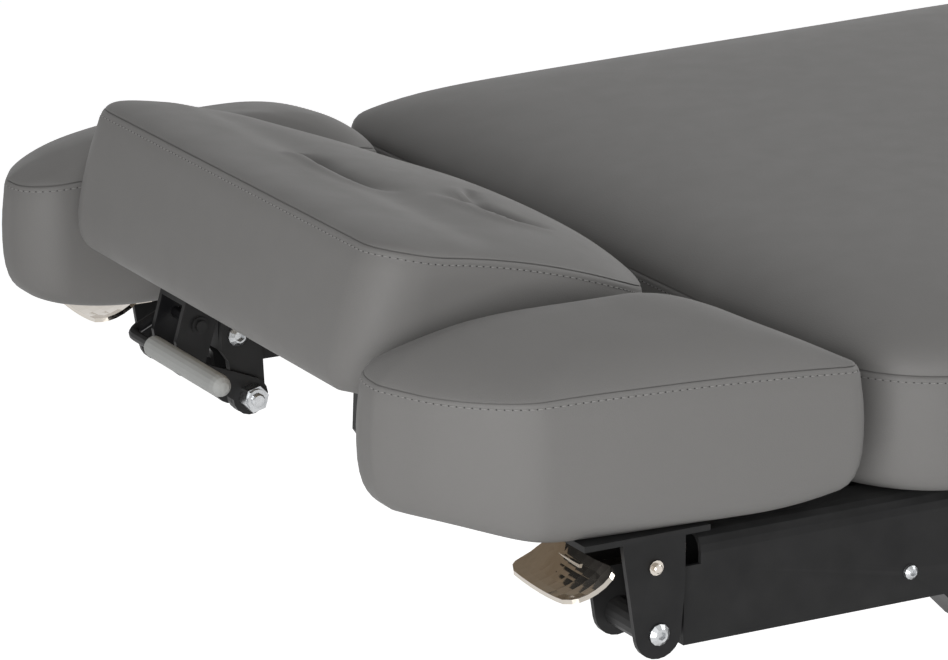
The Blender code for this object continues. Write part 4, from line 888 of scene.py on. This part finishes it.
# %% Armrest pads
ARM_PIVOT_X = -0.652
ARM_TIP_AHEAD = 0.308
ARM_INNER_Y = 0.237
ARM_RAISE = 0.028
ARM_MIDDLE = (ARM_PIVOT_X - ARM_TIP_AHEAD + ARM_LENGTH / 2, ARM_INNER_Y + ARM_WIDTH / 2, SEAM_Z + ARM_RAISE)
ARM_BOARD = (0.0675 + BOARD_PLAY, (ARM_WIDTH - BOARD_INSET) / 2 + BOARD_PLAY, -0.002, 0,
             POCKET_HEIGHT - ARM_SIDE)
ARM_OUTER_CORNERS = (0.058, 0.014)
ARM_INNER_CORNERS = (0.028, 0.045)
ARM_PUFF = 3.3
ARM_CELLS = (96, 64)

for word, side in (("right", -1), ("left", 1)):
    node = "armrest_cushion_" + word
    corners = ARM_OUTER_CORNERS + ARM_INNER_CORNERS if side < 0 else ARM_INNER_CORNERS + ARM_OUTER_CORNERS
    made = make_pad(node, (ARM_LENGTH / 2, ARM_WIDTH / 2), corners, ARM_SIDE, ARM_CROWN[side], ARM_PUFF,
                    ARM_BOARD, ARM_CELLS, arm_shape_for(side))
    place = Matrix.Translation((ARM_MIDDLE[0], side * ARM_MIDDLE[1], ARM_MIDDLE[2]))
    place_pad(node, "armrest_" + word, made, place)

# %% [markdown]
# Floor and light
#
# The bed stands on a pale studio floor that runs out of sight. It reads as white to the camera and in
# polished metal, through the Light Path node, while its diffuse part still takes the bed's shadow. The
# light is soft and low: a broad panel on the client's right at the head end, another over the foot end,
# and a weak even world. The first makes the pads' sides lighter than their tops, and lets the headrest
# and the armrests shade the back pad.

# %% Floor
FLOOR_HALF = 14.0
FLOOR_GLOW = 0.70


def seen_directly(tree):
    """1 for rays from the camera, from a polished surface or through glass, 0 for light on its way."""
    path = add(tree, "LightPath")
    seen = path.outputs["Is Camera Ray"]
    for kind in ("Is Glossy Ray", "Is Transmission Ray"):
        seen = add(tree, "Math", {0: seen, 1: path.outputs[kind]}, operation="MAXIMUM").outputs["Value"]
    return seen


floor_mesh = bpy.data.meshes.new("studio_floor")
corners = [(x * FLOOR_HALF, y * FLOOR_HALF, 0) for x, y in ((-1, -1), (1, -1), (1, 1), (-1, 1))]
floor_mesh.from_pydata(corners, [], [(0, 1, 2, 3)])
floor = bpy.data.objects.new("studio_floor", floor_mesh)
bpy.context.scene.collection.objects.link(floor)
floor_paint, tree, shader = finish("pale studio floor", 0.9)
cloud = placed(tree, mottle, Scale=0.6, Fine_scale=4.0)
two_tones(tree, shader, cloud.outputs["Broad"], (0.80, 0.80, 0.80), (0.83, 0.83, 0.83))
glow = add(tree, "Math", {0: seen_directly(tree), 1: FLOOR_GLOW}, operation="MULTIPLY")
tree.links.new(glow.outputs["Value"], shader.inputs["Emission Strength"])
shader.inputs["Emission Color"].default_value = (1, 1, 1, 1)
floor_mesh.materials.append(floor_paint)
print("floor:", 2 * FLOOR_HALF, "m square")

# %% World
WORLD_LEVEL = 0.26
world = bpy.data.worlds.new("studio")
world.use_nodes = True
bpy.context.scene.world = world
tree = world.node_tree
sky = tree.nodes["Background"]
sky.inputs["Color"].default_value = (1, 1, 1, 1)
level = add(tree, "MapRange", {"Value": seen_directly(tree), "To Min": WORLD_LEVEL, "To Max": 1.0})
tree.links.new(level.outputs["Result"], sky.inputs["Strength"])
print("world: lights at", WORLD_LEVEL, "and shows as white")

# %% Lamps
AIM = (-0.45, 0.0, 0.62)


def panel(name, place, width, height, power):
    """A soft rectangular lamp at a place, turned towards the headrest and armrests."""
    data = bpy.data.lights.new(name, "AREA")
    data.shape = "RECTANGLE"
    data.size, data.size_y = width, height
    data.energy = power
    lamp = bpy.data.objects.new(name, data)
    lamp.location = place
    lamp.rotation_euler = (Vector(place) - Vector(AIM)).to_track_quat("Z", "Y").to_euler()
    bpy.context.scene.collection.objects.link(lamp)


panel("head panel", place=(-2.6, -2.3, 1.1), width=1.8, height=1.2, power=57)
panel("foot panel", place=(2.4, -0.4, 2.2), width=2.0, height=1.6, power=55)
